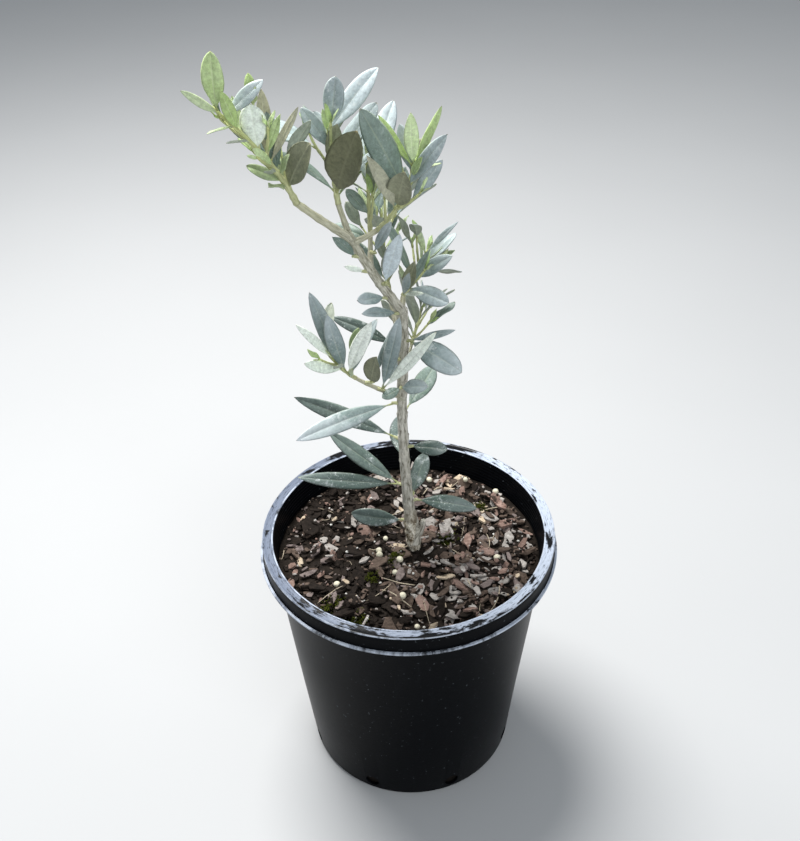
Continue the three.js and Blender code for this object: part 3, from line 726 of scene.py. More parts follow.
# %% The leaves that stand on the trunk or a bough: bearing, rise, length, arch, width share and look
sprays = {
    # The dark look is painted shade: a darker copy of the grey-green leaf, for low leaves in shade.
    "leaves_foot_left": ("trunk", 0.137, [(-179, 7, 36, 20, 0.34, "dark")]),
    "leaves_foot_right": ("trunk", 0.232, [(-9, -1, 41, 16, 0.27, "dark")]),
    "leaves_foot_back": ("trunk", 0.236, [(52, 62, 29, 14, 0.4, "dark")]),
    "leaves_low_left": ("trunk", 0.297, [(179, 4, 67, 12, 0.16, "dark"), (160, 33, 57, 14, 0.2, "dark")]),
    "leaves_low_back": ("trunk", 0.383, [(98, 10, 48, 20, 0.26, "dark")]),
    "leaves_middle_left": ("trunk", 0.495, [(170, 21, 69, 10, 0.16, "dark")]),
    "leaves_middle_right": ("trunk", 0.468, [(-21, 10, 24, 16, 0.41, "dark")]),
    "leaves_middle_back": ("trunk", 0.596, [(62, 14, 50, 26, 0.26, "grey")]),
    "leaves_high_left": ("trunk", 0.645, [(-158, -7, 64, 10, 0.19, "frosted")]),
    "leaves_high_front": ("trunk", 0.715, [
        (-58, 33, 25, 26, 0.37, "silver"), (-138, 1, 14, 20, 0.48, "grey"),
    ]),
    "leaves_upper_front": ("trunk", 0.82, [(-131, -39, 13, 30, 0.44, "silver")]),
    "leaves_upper_back": ("trunk", 0.855, [(168, 25, 42, 14, 0.21, "dark")]),
    "leaves_drooping_right": ("trunk", 0.885, [
        (-49, 0, 38, 40, 0.4, "silver"), (-17, 23, 29, 10, 0.16, "silver"),
    ]),
    "leaves_neck": ("trunk", 0.985, [(-133, 29, 26, 24, 0.25, "silver")]),
    "leaves_bough_low": ("left_bough", 0.2, [(-140, 21, 19, 16, 0.4, "silver")]),
    "leaves_bough_front": ("left_bough", 0.4, [(-56, 66, 38, 10, 0.25, "limed")]),
    "leaves_bough_middle": ("left_bough", 0.56, [(-147, 28, 14, 10, 0.22, "pale")]),
    "leaves_bough_high": ("left_bough", 0.76, [(-136, 49, 21, 14, 0.26, "grey")]),
    "leaves_inner": ("inner_bough", 0.5, [(-62, 55, 30, 12, 0.2, "silver")]),
    "leaves_twig_low": ("low_left_bough", 0.78, [
        (-82, 55, 29, 20, 0.39, "olive"), (28, 65, 42, 10, 0.11, "silver"),
    ]),
    "leaves_twig_high": ("low_left_bough", 0.5, [
        (-59, 71, 58, 12, 0.16, "silver"), (-43, 53, 66, 8, 0.11, "pale"),
    ]),
}
print("spurs with their leaves:", len(sprays))

# %% The rule's own numbers
# Pairs of leaves: the turn from pair to pair in degrees, and where the first and the last pair sit
turn_per_node, first_node, last_node = 90, 0.16, 0.96
leaf_crowding, shortening = 0.85, 0.3

# How far leaves and twigs spread from their shoot in degrees, and how much a twig turns to the sky
spread_at_foot, spread_at_tip, twig_spread, twig_lift = 56, 24, 48, 0.35

# The last pair of a shoot is young: shorter, closer to the shoot, and narrower
young_share, young_spread, young_width = 0.6, 15, 0.8

# The largest leaves: their arch in degrees, and the open side of the crown that they face
main_arch = 14
open_front = np.array([0, -0.75, 0.66])
turned_out, backward = 0.6, 0.35

# The least distance between leaves, and between a leaf and a limb
leaf_apart, limb_apart = 3, 1.4
print("leaves keep", leaf_apart, "mm from one another and", limb_apart, "mm from limbs")

# %% What has grown so far, and whether a place is still free
limb_marks = 12
limb_points, limb_radii, limb_owners, leaf_points, leaf_owners = [], [], [], [], []


def remember_limb(line, owner=""):
    for i in range(limb_marks + 1):
        share = i / limb_marks
        limb_points.append(along_line(line, share)[0])
        limb_radii.append(line[0][2] + (line[-1][2] - line[0][2]) * share)
        limb_owners.append(owner)


def remember_leaf(points, owner):
    leaf_points.extend(points)
    leaf_owners.extend([owner] * len(points))


def distances(points, others):
    return np.linalg.norm(np.asarray(points)[:, None] - np.asarray(others)[None], axis=2)


def is_free(points, apart=leaf_apart, besides=None):
    """Whether points are clear of everything grown so far, but for what one owner has grown."""
    too_near = distances(points, limb_points) < np.asarray(limb_radii) + limb_apart
    if too_near[:, [owner != besides for owner in limb_owners]].any():
        return False
    if not leaf_points:
        return True
    too_near = distances(points, leaf_points) < apart
    return not too_near[:, [owner != besides for owner in leaf_owners]].any()


# %% Where a leaf points and faces, and the points that stand for its blade


def leaving(along, round_by, spread):
    """The direction of a leaf or twig that leaves a shoot at an angle round it and a spread from it."""
    nearly_upright = 0.995
    upright = np.array([0.0, 1.0, 0.0]) if abs(along[2]) > nearly_upright else skyward
    above = square_to(upright, along)
    beside = np.cross(along, above)
    turn, spread = math.radians(round_by), math.radians(spread)
    out = beside * math.cos(turn) + above * math.sin(turn)
    return unit(out * math.sin(spread) + along * math.cos(spread))


def upper_face(shoot_along, along):
    """A leaf's upper face looks along its shoot, and turns out to the open front or back of the crown."""
    face = square_to(shoot_along, along)
    face[1] += turned_out if along[1] > backward else -turned_out
    return square_to(face, along)


def blade_points(leaf):
    """Points over the blade that stand for it where leaves are kept apart."""
    half = leaf["length"] * leaf["plump"] / 2
    hinge = unit(np.cross(leaf["face"], leaf["along"]))
    points = []
    for tenth in range(3, 11):
        share = tenth / 10
        along = turned_about(leaf["along"], hinge, leaf["arch"] * share / 2)
        middle = leaf["root"] + along * share * leaf["length"]
        sides = (-0.8, -0.4, 0, 0.4, 0.8) if tenth < 10 else (0,)
        points += [middle + hinge * half * side for side in sides]
    return points


# %% Grow the stems and twigs
leaves, shoots = [], []
stem_start = 0.98
for line in lines.values():
    remember_limb(line)
grown = {}
for name, row in masses.items():
    mass = dict(zip(mass_columns, row), name=name)
    mass["line"] = limb_line(along_line(lines[mass["on"]], stem_start)[0], mass)
    mass["draw"] = dice(mass["seed"])
    remember_limb(mass["line"], name)
    grown[name] = mass


def new_leaf(root, along, face, length, arch, plump, look):
    """A leaf: its root, direction, upper face, length, arch in degrees, share of width, and look."""
    return {"root": root, "along": along, "face": face, "length": length, "arch": arch, "plump": plump,
            "look": look}


def grow_twigs(mass):
    """Twigs at the mass's nodes, on one side and the other in turn, where there is room for them."""
    draw, twigs = mass["draw"], []
    for number in range(mass["twigs"]):
        rank = number / (mass["pairs"] - 1)
        at, along, _ = along_line(mass["line"], first_node + (last_node - first_node) * rank**leaf_crowding)
        round_by = mass["twist"] + turn_per_node * number + 180 * (number % 2) + draw(-12, 12)
        toward = unit(leaving(along, round_by, twig_spread) + skyward * twig_lift)
        twig = {"length": mass["twig_length"] * draw(0.8, 1.15), "swing": 0, "curl": draw(6, 26)}
        twig["bearing"] = math.degrees(math.atan2(toward[1], toward[0]))
        twig["rise"] = math.degrees(math.asin(toward[2]))
        twig["base"], twig["tip"] = mass["tip"] * 1.1, mass["tip"] * 0.8
        line = limb_line(at, twig)
        if is_free([station[0] for station in line[2:]]):
            leaves_of_twig = {"pairs": mass["twig_pairs"], "first": 0.55, "scale": 0.82, "twist": draw(0, 90)}
            twigs.append({"line": line, **leaves_of_twig})
    return twigs


for mass in grown.values():
    mass["shoots"] = grow_twigs(mass)
    for twig in mass["shoots"]:
        remember_limb(twig["line"], mass["name"])
print("twigs:", sum(len(mass["shoots"]) for mass in grown.values()))

# %% Grow the leaves of the trunk and boughs on their spurs
spur_shape = {"rise": 20, "swing": 0, "curl": 0, "length": 7, "base": 2, "tip": 1.5}
for number, (name, (on, share, own)) in enumerate(sprays.items()):
    at = along_line(lines[on], share)[0]
    bearing = sum(leaf[0] for leaf in own) / len(own)
    spur = limb_line(at, {"bearing": bearing, **spur_shape})
    shoots.append({"line": spur, "mass": name, "spur": True})
    draw = dice(number + 1)
    for bearing, rise, length, arch, plump, look in own:
        along = heading(bearing, rise)
        face = turned_about(square_to(open_front, along), along, draw(-16, 16))
        leaf = new_leaf(spur[-2][0], along, face, length, arch, plump, look)
        remember_leaf(blade_points(leaf), name)
        leaves.append({**leaf, "mass": name})
print("leaves on trunk and boughs:", len(leaves))

# %% Grow the pairs of leaves of a shoot, where there is room


def settle(mass, leaf, apart=leaf_apart, besides=None):
    """Keeps a leaf that is inside its mass's room and clear of what grew before."""
    points = blade_points(leaf)
    middle = along_line(mass["line"], 0.5)[0]
    if (distances(points, [middle]) > mass["room"]).any() or not is_free(points, apart, besides):
        return
    remember_leaf(points, mass["name"])
    leaves.append({**leaf, "mass": mass["name"]})


def grow_main_leaves(mass):
    for share, bearing, rise, length, plump, look in main_leaves.get(mass["name"], []):
        at = along_line(mass["line"], share)[0]
        along = heading(bearing, rise)
        face = square_to(open_front, along)
        leaf = new_leaf(at, along, face, length, main_arch, plump, look)
        settle(mass, leaf, leaf_apart, mass["name"])


def grow_leaves(mass, shoot):
    """Pairs of leaves up a shoot, each pair square to the one below, and a young pair at its tip."""
    draw = mass["draw"]
    middle_rank = 0.6
    for number in range(shoot["pairs"] + 1):
        young = number == shoot["pairs"]
        rank = min(number / (shoot["pairs"] - 1), 1) if shoot["pairs"] > 1 else middle_rank
        share = 1 if young else shoot["first"] + (last_node - shoot["first"]) * rank**leaf_crowding
        at, shoot_along, _ = along_line(shoot["line"], share)
        for side in (0, 180):
            size = mass["leaf"] * shoot["scale"] * (young_share if young else 1 - shortening * rank * rank)
            length = size * draw(0.86, 1.12)
            spread = young_spread if young else spread_at_foot + (spread_at_tip - spread_at_foot) * rank
            spread = spread + draw(-8, 8)
            round_by = shoot["twist"] + turn_per_node * number + side + draw(-14, 14)
            along = leaving(shoot_along, round_by, spread)
            along = unit(along + skyward * (mass["lift"] / 2 if young else mass["lift"]))
            face = turned_about(upper_face(shoot_along, along), along, draw(-24, 24))
            arch = draw(2, 30)
            plump = mass["plump"] * draw(0.88, 1.14) * (young_width if young else 1)
            leaf = new_leaf(at, along, face, length, arch, plump, "young" if young else "seeded")
            leaf["rank"] = share if shoot["scale"] == 1 else 0.5
            settle(mass, leaf)


# %% Grow the largest leaves first, and then the pairs of every shoot
for mass in grown.values():
    grow_main_leaves(mass)
for mass in grown.values():
    stem = {"line": mass["line"], "pairs": mass["pairs"], "first": first_node, "scale": 1}
    stem["twist"] = mass["twist"]
    mass["shoots"].insert(0, stem)
    for shoot in mass["shoots"]:
        grow_leaves(mass, shoot)
        shoots.append({"line": shoot["line"], "mass": mass["name"], "spur": False})
print("leaves as in the solids:", len(leaves))

# %% [markdown]
# ## Finer growth
# The solids stop at sound, sturdy leaves. On the plant each shoot ends in a small tuft of leaves that are
# still unfolding, and short shoots with tiny leaves sit in the angles of the older ones. The same rule grows
# them, smaller, inside the same reach.

# %% Add the unfolding leaves and the short shoots
fine_draw = dice(77)
tuft_leaves, tuft_apart, tuft_plump = 4, 0.7, 0.26
tuft_turn, tuft_spread, outer_spread = 45, 12, 7
small_apart, small_plump, small_spread = 1.3, 0.3, 42
first_small, small_reach = 0.1, 0.8


def grow_tuft(mass, shoot):
    tip, shoot_along, _ = along_line(shoot["line"], 1)
    for number in range(tuft_leaves):
        round_by = tuft_turn + turn_per_node * number + fine_draw(-14, 14)
        along = leaving(shoot_along, round_by, tuft_spread + outer_spread * (number % 2) + fine_draw(-4, 6))
        face = turned_about(upper_face(shoot_along, along), along, fine_draw(-30, 30))
        length, arch = fine_draw(7, 13), fine_draw(-6, 14)
        settle(mass, new_leaf(tip, along, face, length, arch, tuft_plump, "tip"), tuft_apart)


def grow_small_leaves(mass):
    nodes = mass["pairs"] * 2
    for number in range(nodes):
        at, shoot_along, _ = along_line(mass["line"], first_small + small_reach * number / nodes)
        round_by = mass["twist"] + turn_per_node * number + fine_draw(-20, 20)
        along = leaving(shoot_along, round_by, small_spread + fine_draw(-8, 8))
        face = turned_about(upper_face(shoot_along, along), along, fine_draw(-30, 30))
        length, arch = fine_draw(11, 21), fine_draw(-4, 24)
        settle(mass, new_leaf(at, along, face, length, arch, small_plump, "small"), small_apart)


for mass in grown.values():
    for shoot in mass["shoots"]:
        grow_tuft(mass, shoot)
    grow_small_leaves(mass)
print("leaves with the finer ones:", len(leaves))

# %% [markdown]
# ## Leaf finishes
# An olive leaf is grey-green and leathery above and silvery or olive-brown below, and new growth is
# yellow-green. Each kind of leaf gets two finishes, one for each side. All share one recipe: a base colour
# that drifts a little from leaf to leaf and along the blade, a pale midrib, faint side veins, a film of dust
# towards the tip, and dried lime in small white spots.

# %% The layers of a leaf finish: its own colour, side veins and lime
stalk_green, dry_tip = (0.34, 0.36, 0.15), (0.33, 0.26, 0.12)
dust_film, dry_lime = (0.64, 0.69, 0.72), (0.62, 0.66, 0.66)
side_veins, vein_slant, leaf_specular, lime_roughness = 9, 2.6, 0.42, 0.8


def leaf_base(tree, at, drift, colour, second):
    """The blade's own colour, which drifts between two and is mottled all over."""
    drifted = plus(tree, times(tree, mark(tree, "tone"), 0.8), drift)
    base = mix(tree, between(tree, drifted, 0.55, 1.25), colour, second)
    mottle = between(tree, speckle(tree, at, 480, 6, 0.72), 0.34, 0.68, 0.71, 1.24)
    return mix(tree, 1.0, base, node(tree, "CombineColor", {0: mottle, 1: mottle, 2: mottle})[0], "MULTIPLY")


def side_vein(tree, along, off_middle, strength):
    """Slanting lines that leave the midrib in pairs."""
    slanted = maths(tree, "SUBTRACT", times(tree, along, side_veins), times(tree, off_middle, vein_slant))
    wave = maths(tree, "ABSOLUTE", maths(tree, "SINE", times(tree, slanted, math.pi)))
    return times(tree, between(tree, wave, 0.16, 0.0), strength)


def lime_spots(tree, at, spots):
    """Fine spots and larger splashes of dried lime, more of them in some patches than in others."""
    patch = between(tree, speckle(tree, at, 75, 3), 0.44, 0.62)
    spot = between(tree, speckle(tree, at, 900, 2, 0.6), 0.62, 0.68)
    fine = times(tree, times(tree, spot, plus(tree, patch, 0.1)), times(tree, spots, 0.7))
    splash = between(tree, speckle(tree, at, 170, 6, 0.72), 0.54, 0.65)
    splash = times(tree, splash, times(tree, patch, spots))
    return maths(tree, "MINIMUM", plus(tree, fine, times(tree, splash, 0.8)), 1.0)


# %% The whole finish of one side of a leaf


def leaf_finish(name, colour, second, midrib, spots, roughness, vein_strength=0.35, dust=0.0):
    material, tree, shader = new_finish(name, roughness, leaf_specular)
    at = place(tree)
    along = mark(tree, "along")
    off_middle = maths(tree, "ABSOLUTE", mark(tree, "across"))
    drift = speckle(tree, at, 90, 4)
    base = leaf_base(tree, at, drift, colour, second)
    vein = side_vein(tree, along, off_middle, vein_strength)
    base = mix(tree, vein, base, midrib)
    rib = between(tree, plus(tree, off_middle, times(tree, along, 0.03)), 0.115, 0.045)
    base = mix(tree, times(tree, rib, 0.38), base, midrib)
    base = mix(tree, between(tree, off_middle, 0.9, 1.0, 0, 0.45), base, midrib)
    base = mix(tree, between(tree, along, 0.13, 0.06), base, stalk_green)
    base = mix(tree, between(tree, along, 0.975, 1.0, 0, 0.6), base, dry_tip)
    dusty_part = between(tree, plus(tree, along, times(tree, drift, 0.9)), 0.85, 1.45)
    dustiness = between(tree, mark(tree, "tone"), 0.15, 0.85, dust, dust * 0.3)
    base = mix(tree, times(tree, dusty_part, dustiness), base, dust_film)
    white = lime_spots(tree, at, spots)
    fill(tree, shader.inputs["Base Color"], mix(tree, white, base, dry_lime))
    fill(tree, shader.inputs["Roughness"], between(tree, white, 0, 1, roughness, lime_roughness))
    height = plus(tree, times(tree, vein, -0.6), times(tree, speckle(tree, at, 1500, 3), 0.25))
    relief(tree, shader, height, 0.0002, 0.7)
    return material


# %% The finishes of every kind of leaf
# Name, first and second colour, midrib, share of lime spots, roughness, strength of the veins, dust
finish_rows = [
    ("leaf_grey_upper", (0.115, 0.17, 0.135), (0.21, 0.275, 0.235), (0.36, 0.41, 0.29),
     0.7, 0.46, 0.35, 0.15),
    ("leaf_silver_upper", (0.22, 0.285, 0.28), (0.37, 0.44, 0.45), (0.47, 0.52, 0.44), 1.0, 0.46, 0.35, 0.4),
    ("leaf_frosted_upper", (0.23, 0.3, 0.285), (0.38, 0.455, 0.45), (0.55, 0.6, 0.54), 1.0, 0.46, 0.35, 0.9),
    ("leaf_limed_upper", (0.39, 0.47, 0.48), (0.56, 0.64, 0.67), (0.6, 0.65, 0.6), 1.0, 0.5, 0.35, 0.6),
    # Painted shade: the grey-green upper side made darker, for leaves that lie in shade.
    ("leaf_painted_shade_upper", (0.058, 0.09, 0.076), (0.115, 0.155, 0.137), (0.22, 0.26, 0.2),
     0.9, 0.36, 0.35, 0.12),
    ("leaf_fresh_upper", (0.31, 0.4, 0.2), (0.48, 0.56, 0.35), (0.52, 0.6, 0.38), 0.25, 0.44, 0.35, 0),
    ("leaf_young_upper", (0.4, 0.54, 0.2), (0.6, 0.73, 0.4), (0.68, 0.75, 0.48), 0.05, 0.42, 0.35, 0),
    ("leaf_lime_upper", (0.64, 0.78, 0.42), (0.82, 0.92, 0.64), (0.8, 0.86, 0.62), 0.0, 0.42, 0.35, 0),
    ("leaf_pale_upper", (0.78, 0.87, 0.75), (0.9, 0.95, 0.87), (0.84, 0.88, 0.76), 0.1, 0.46, 0.35, 0),
    ("leaf_beige_under", (0.3, 0.295, 0.2), (0.43, 0.43, 0.32), (0.5, 0.5, 0.36), 0.0, 0.6, 0.25, 0),
    ("leaf_olive_under", (0.19, 0.2, 0.125), (0.32, 0.33, 0.225), (0.4, 0.41, 0.27), 0.0, 0.6, 0.3, 0),
    ("leaf_shaded_under", (0.085, 0.09, 0.043), (0.155, 0.16, 0.088), (0.22, 0.22, 0.13), 0.0, 0.6, 0.3, 0),
    ("leaf_silver_under", (0.3, 0.34, 0.27), (0.43, 0.47, 0.39), (0.48, 0.5, 0.36), 0.05, 0.64, 0.12, 0),
    ("leaf_young_under", (0.42, 0.5, 0.24), (0.55, 0.62, 0.35), (0.58, 0.62, 0.38), 0.0, 0.58, 0.12, 0),
]
leaf_finishes = [leaf_finish(*row) for row in finish_rows]
leaf_names = [finish.name for finish in leaf_finishes]
print("leaf finishes:", leaf_names)

# %% Which finishes a leaf has, above and below, and whether its underside faces the front
looks = {
    "grey": ("leaf_grey_upper", "leaf_silver_under", False),
    "silver": ("leaf_silver_upper", "leaf_silver_under", False),
    "frosted": ("leaf_frosted_upper", "leaf_silver_under", False),
    "limed": ("leaf_limed_upper", "leaf_silver_under", False),
    # Painted shade: leaves in shade get a darker upper side.
    "dark": ("leaf_painted_shade_upper", "leaf_silver_under", False),
    "fresh": ("leaf_fresh_upper", "leaf_young_under", False),
    "young": ("leaf_young_upper", "leaf_young_under", False),
    "tip": ("leaf_young_upper", "leaf_young_under", False),
    "small": ("leaf_fresh_upper", "leaf_silver_under", False),
    "lime": ("leaf_lime_upper", "leaf_young_under", False),
    "pale": ("leaf_pale_upper", "leaf_silver_under", False),
    "beige": ("leaf_grey_upper", "leaf_beige_under", True),
    "olive": ("leaf_grey_upper", "leaf_olive_under", True),
    "shaded": ("leaf_grey_upper", "leaf_shaded_under", True),
    "back": ("leaf_grey_upper", "leaf_silver_under", True),
}
print("looks:", len(looks))

# %% Deal the looks out to the leaves that the rule grew
mass_tints = {
    "foliage_left_tip": ("grey", "silver", "pale", "beige", "grey"),
    "foliage_upper": ("grey", "silver", "frosted", "silver", "grey"),
    "foliage_right_top": ("grey", "silver", "fresh", "olive", "silver"),
    "foliage_inner": ("grey", "silver", "silver", "back", "grey"),
    "foliage_centre": ("silver", "silver", "grey", "back", "silver"),
    "foliage_back": ("silver", "grey", "grey", "back", "silver"),
    # Here dark is painted shade on the low leaves at the back.
    "foliage_low_back": ("silver", "grey", "dark", "grey", "silver"),
    "foliage_low_left": ("silver", "silver", "grey", "back", "silver"),
}
look_draw = dice(19)
fresh_masses = ("foliage_left_tip", "foliage_right_top")
fresh_rank, young_rank, fresh_odds = 0.78, 0.9, 0.6
for leaf in leaves:
    if leaf["look"] == "seeded":
        tints = mass_tints[leaf["mass"]]
        leaf["look"] = tints[int(look_draw(0, len(tints) - 0.001))]
        if leaf["mass"] in fresh_masses and leaf["rank"] > fresh_rank:
            leaf["look"] = "fresh" if leaf["rank"] < young_rank else "young"
    elif leaf["look"] == "young" and leaf["mass"] not in fresh_masses:
        leaf["look"] = "fresh" if look_draw(0, 1) < fresh_odds else "pale"
print("looks dealt out:", {look: sum(leaf["look"] == look for leaf in leaves) for look in looks})

# %% [markdown]
# ## The shape of a leaf
# The blade is a long ellipse with a short point, widest a little above its middle, on a stalk of a few
# millimetres. It is folded along the midrib, which is a groove above and a rib below, its edges roll under,
# and no two blades wave or twist alike. A closed loft gives all of that in one: a ring of points round the
# leaf at each step.

# %% How wide a blade is along its length
outline_shares = (0, 0.07, 0.16, 0.3, 0.45, 0.6, 0.74, 0.86, 0.94, 0.985, 1)
narrow_outline = (0.05, 0.28, 0.56, 0.86, 1, 0.98, 0.84, 0.58, 0.32, 0.1, 0.02)
broad_outline = (0.05, 0.26, 0.54, 0.85, 1, 1.0, 0.93, 0.72, 0.44, 0.15, 0.03)
across_upper = (-1, -0.82, -0.5, -0.2, -0.07, 0, 0.07, 0.2, 0.5, 0.82, 1)
across_lower = (0.8, 0.45, 0.09, 0, -0.09, -0.45, -0.8)
leaf_ring = len(across_upper) + len(across_lower)
stalk_share, stalk_radius = 0.09, 0.55
leaf_stations = (0, 0.05, 0.09, 0.13, 0.19, 0.28, 0.38, 0.49, 0.6, 0.71, 0.81, 0.89, 0.95, 0.985, 1)
print("points round a leaf and along it:", leaf_ring, len(leaf_stations))


def blade_width(share, plump):
    """The width at a share of the length, fuller towards the tip on a broad leaf."""
    if share <= stalk_share:
        return 0.0
    at = (share - stalk_share) / (1 - stalk_share)
    broadness = min(1, max(0, (plump - 0.24) / 0.16))
    narrow, broad = (float(np.interp(at, outline_shares, o)) for o in (narrow_outline, broad_outline))
    return narrow + (broad - narrow) * broadness


# %% One leaf as a closed loft, with its fold, groove, rib and rolled edges
edge_thickness, more_at_middle, full_width = 0.12, 0.42, 1.5
edge_roll, groove_depth, rib_height, rib_width = 0.16, 0.24, 0.42, 0.09
stalk_end, stalk_fade, least_half_width = 0.15, 0.08, 0.001
waves_along, other_side = 9, 1.3


def height_over_blade(a, upper, side, width, ridge):
    """How far a point at a, from -1 to 1 across the blade, lies from its middle surface."""
    thick = more_at_middle * min(1, width / full_width) + edge_thickness
    depth = thick * (1 - 0.6 * a * a) / 2
    rib = depth + rib_height * ridge
    groove = depth - groove_depth * ridge
    if upper:
        return groove if side > 0 else rib
    return -(rib if side > 0 else groove)


def leaf_shape(leaf, draw):
    """The leaf's rings of points, with how far along and across the blade each lies."""
    half = leaf["length"] * leaf["plump"] / 2
    side = -1 if looks[leaf["look"]][2] else 1
    hinge = unit(np.cross(leaf["face"], leaf["along"]))
    twist, wave, phase = draw(-14, 14), draw(0.15, 0.8), draw(0, 6.28)
    sway = draw(-7, 7)
    fold = draw(0.08, 0.26)
    points, along_marks, across_marks = [], [], []
    at, before = leaf["root"].copy(), 0.0
    for share in leaf_stations:
        middle = (share + before) / 2
        along = turned_about(leaf["along"], hinge, leaf["arch"] * middle)
        along = unit(along + hinge * math.radians(sway) * (middle - 0.4))
        at = at + along * (share - before) * leaf["length"]
        before = share
        face = turned_about(leaf["face"], hinge, leaf["arch"] * share)
        face = turned_about(square_to(face, along), along, twist * share)
        across_way = np.cross(face, along)
        width = max(half * blade_width(share, leaf["plump"]), least_half_width)
        round_part = min(1.0, max(0.0, (stalk_end - share) / stalk_fade))
        stalk = stalk_radius * (1.25 - 2.4 * min(share, stalk_end))
        for i in range(leaf_ring):
            upper = i < len(across_upper)
            a = across_upper[i] if upper else across_lower[i - len(across_upper)]
            ridge = math.exp(-((a / rib_width) ** 2)) * min(1, width / 3)
            flat_lift = fold * abs(a) * width - edge_roll * width * a**4 * side
            wave_phase = share * waves_along + phase + (other_side if a > 0 else 0)
            flat_lift += wave * abs(a) ** 1.5 * math.sin(wave_phase)
            flat_lift += height_over_blade(a, upper, side, width, ridge)
            turn = math.pi * (1 - (a + 1) / 2)
            round_lift = (1 if upper else -1) * math.sin(turn) * stalk
            sideways = a * width * (1 - round_part) + math.cos(turn) * stalk * round_part
            lift = flat_lift * (1 - round_part) + round_lift * round_part
            points.append(at + across_way * sideways + face * lift)
            along_marks.append(share)
            across_marks.append(a)
    return np.array(points), along_marks, across_marks


# %% Gather the leaves by kind: on the crown, at the tips, and on the trunk
leaf_faces = ring_faces(len(leaf_stations), leaf_ring)
upper_faces = [face[0] % leaf_ring < len(across_upper) - 1 for face in leaf_faces[:-2]] + [True, True]
tip_looks = ("young", "tip", "small", "fresh")
kinds = {"crown_leaves": Gathered(), "tip_leaves": Gathered(), "trunk_leaves": Gathered()}
shape_draw = dice(5)
for leaf in leaves:
    above, below, turned_over = looks[leaf["look"]]
    if turned_over:
        above, below = below, above
    if leaf["mass"].startswith("leaves_"):
        kind = "trunk_leaves"
    else:
        kind = "tip_leaves" if leaf["look"] in tip_looks else "crown_leaves"
    points, along_marks, across_marks = leaf_shape(leaf, shape_draw)
    finish_above, finish_below = leaf_names.index(above), leaf_names.index(below)
    finishes = [finish_above if upper else finish_below for upper in upper_faces]
    tone = shape_draw(0, 1)
    kinds[kind].add(points, leaf_faces, finishes, along=along_marks, across=across_marks, tone=tone)

foliage_nodes = sorted(grown) + sorted(sprays)
for name, gathered in kinds.items():
    piece = gathered.piece(name, leaf_finishes)
    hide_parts(*(sorted(sprays) if name == "trunk_leaves" else sorted(grown)))
    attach(piece, "root")

# %% [markdown]
# ## Bark
# Young olive bark is smooth and grey-brown, with fine lengthwise streaks, pale corky dots and a raised scar
# where each pair of leaves sat. At the trunk's foot it flakes, and towards the tips it turns yellow-green.
# The finish reads marks that the mesh carries: how green the place is, how near the foot, and where it lies
# round and along its limb, so that the streaks follow the wood.

# %% The finishes of wood and of green shoots
warm_blotch, corky_dot, dark_crack = (0.3, 0.28, 0.22), (0.52, 0.49, 0.40), (0.075, 0.062, 0.045)
# The foot's bark is paler and warmer: partly its own colour, partly painted light against the shade there.
foot_bark_and_painted_light, flake_shadow, flake_light = (0.55, 0.48, 0.36), (0.1, 0.068, 0.036), (0.82, 0.77, 0.66)


def bark_finish(name, old, light, green):
    material, tree, shader = new_finish(name, 0.82, 0.3)
    at = place(tree)
    grain_marks = {0: mark(tree, "grain_x"), 1: mark(tree, "grain_y"), 2: mark(tree, "grain_z")}
    grain = speckle(tree, node(tree, "CombineXYZ", grain_marks)[0], 1.0, 6, 0.65)
    blotch = between(tree, speckle(tree, at, 120, 4), 0.35, 0.65)
    colour = mix(tree, between(tree, grain, 0.41, 0.58), old, light)
    colour = mix(tree, times(tree, blotch, 0.4), colour, warm_blotch)
    dots = between(tree, speckle(tree, at, 780, 2, 0.5), 0.64, 0.70)
    colour = mix(tree, times(tree, dots, 0.75), colour, corky_dot)
    cracks = between(tree, grain, 0.41, 0.34)
    colour = mix(tree, times(tree, cracks, 0.7), colour, dark_crack)
    foot = mark(tree, "foot")
    flakes = speckle(tree, place(tree, (1, 1, 0.36)), 330, 6, 0.74)
    # Paler bark towards the foot: partly its own colour, partly painted light against the shade that falls
    # there.
    colour = mix(tree, times(tree, foot, 0.6), colour, foot_bark_and_painted_light)
    colour = mix(tree, times(tree, between(tree, flakes, 0.52, 0.55), foot), colour, flake_shadow)
    colour = mix(tree, times(tree, between(tree, flakes, 0.46, 0.42), foot), colour, flake_light)
    lighter_green = tuple(min(1, c * 1.25) for c in green)
    greener = mix(tree, between(tree, grain, 0.4, 0.6), green, lighter_green)
    colour = mix(tree, between(tree, mark(tree, "green"), 0.0, 1.0), colour, greener)
    fill(tree, shader.inputs["Base Color"], colour)
    raised = plus(tree, dots, times(tree, flakes, foot))
    relief(tree, shader, plus(tree, grain, times(tree, raised, -0.8)), 0.0006, 0.8)
    return material


bark = bark_finish("olive_bark", (0.26, 0.245, 0.2), (0.66, 0.63, 0.555), (0.45, 0.445, 0.275))
shoot_bark = bark_finish("green_shoot", (0.38, 0.37, 0.23), (0.57, 0.56, 0.38), (0.5, 0.54, 0.23))
print("bark finishes:", bark.name, shoot_bark.name)

# %% [markdown]
# ## Trunk and boughs
# Wood grows as one skin, so the limbs are joined. Each is first a tube with collars at its foot and swellings
# at its nodes. The tubes are sunk in one another and rebuilt as one skin of small even faces, which rounds
# each fork as growth does. Then the skin is moved in and out along its grain to give ridges and knots.

# %% A tube along a line, with a collar and nodes
first_face = np.array([0.0, -1.0, 0.2])
collar_reach, node_reach = 3.5, 1.3


def fine_line(line, step=0.8):
    """The line again at close, even stations, and its length."""
    length = line_length(line)
    count = max(6, int(length / step))
    return [along_line(line, i / count) for i in range(count + 1)], length


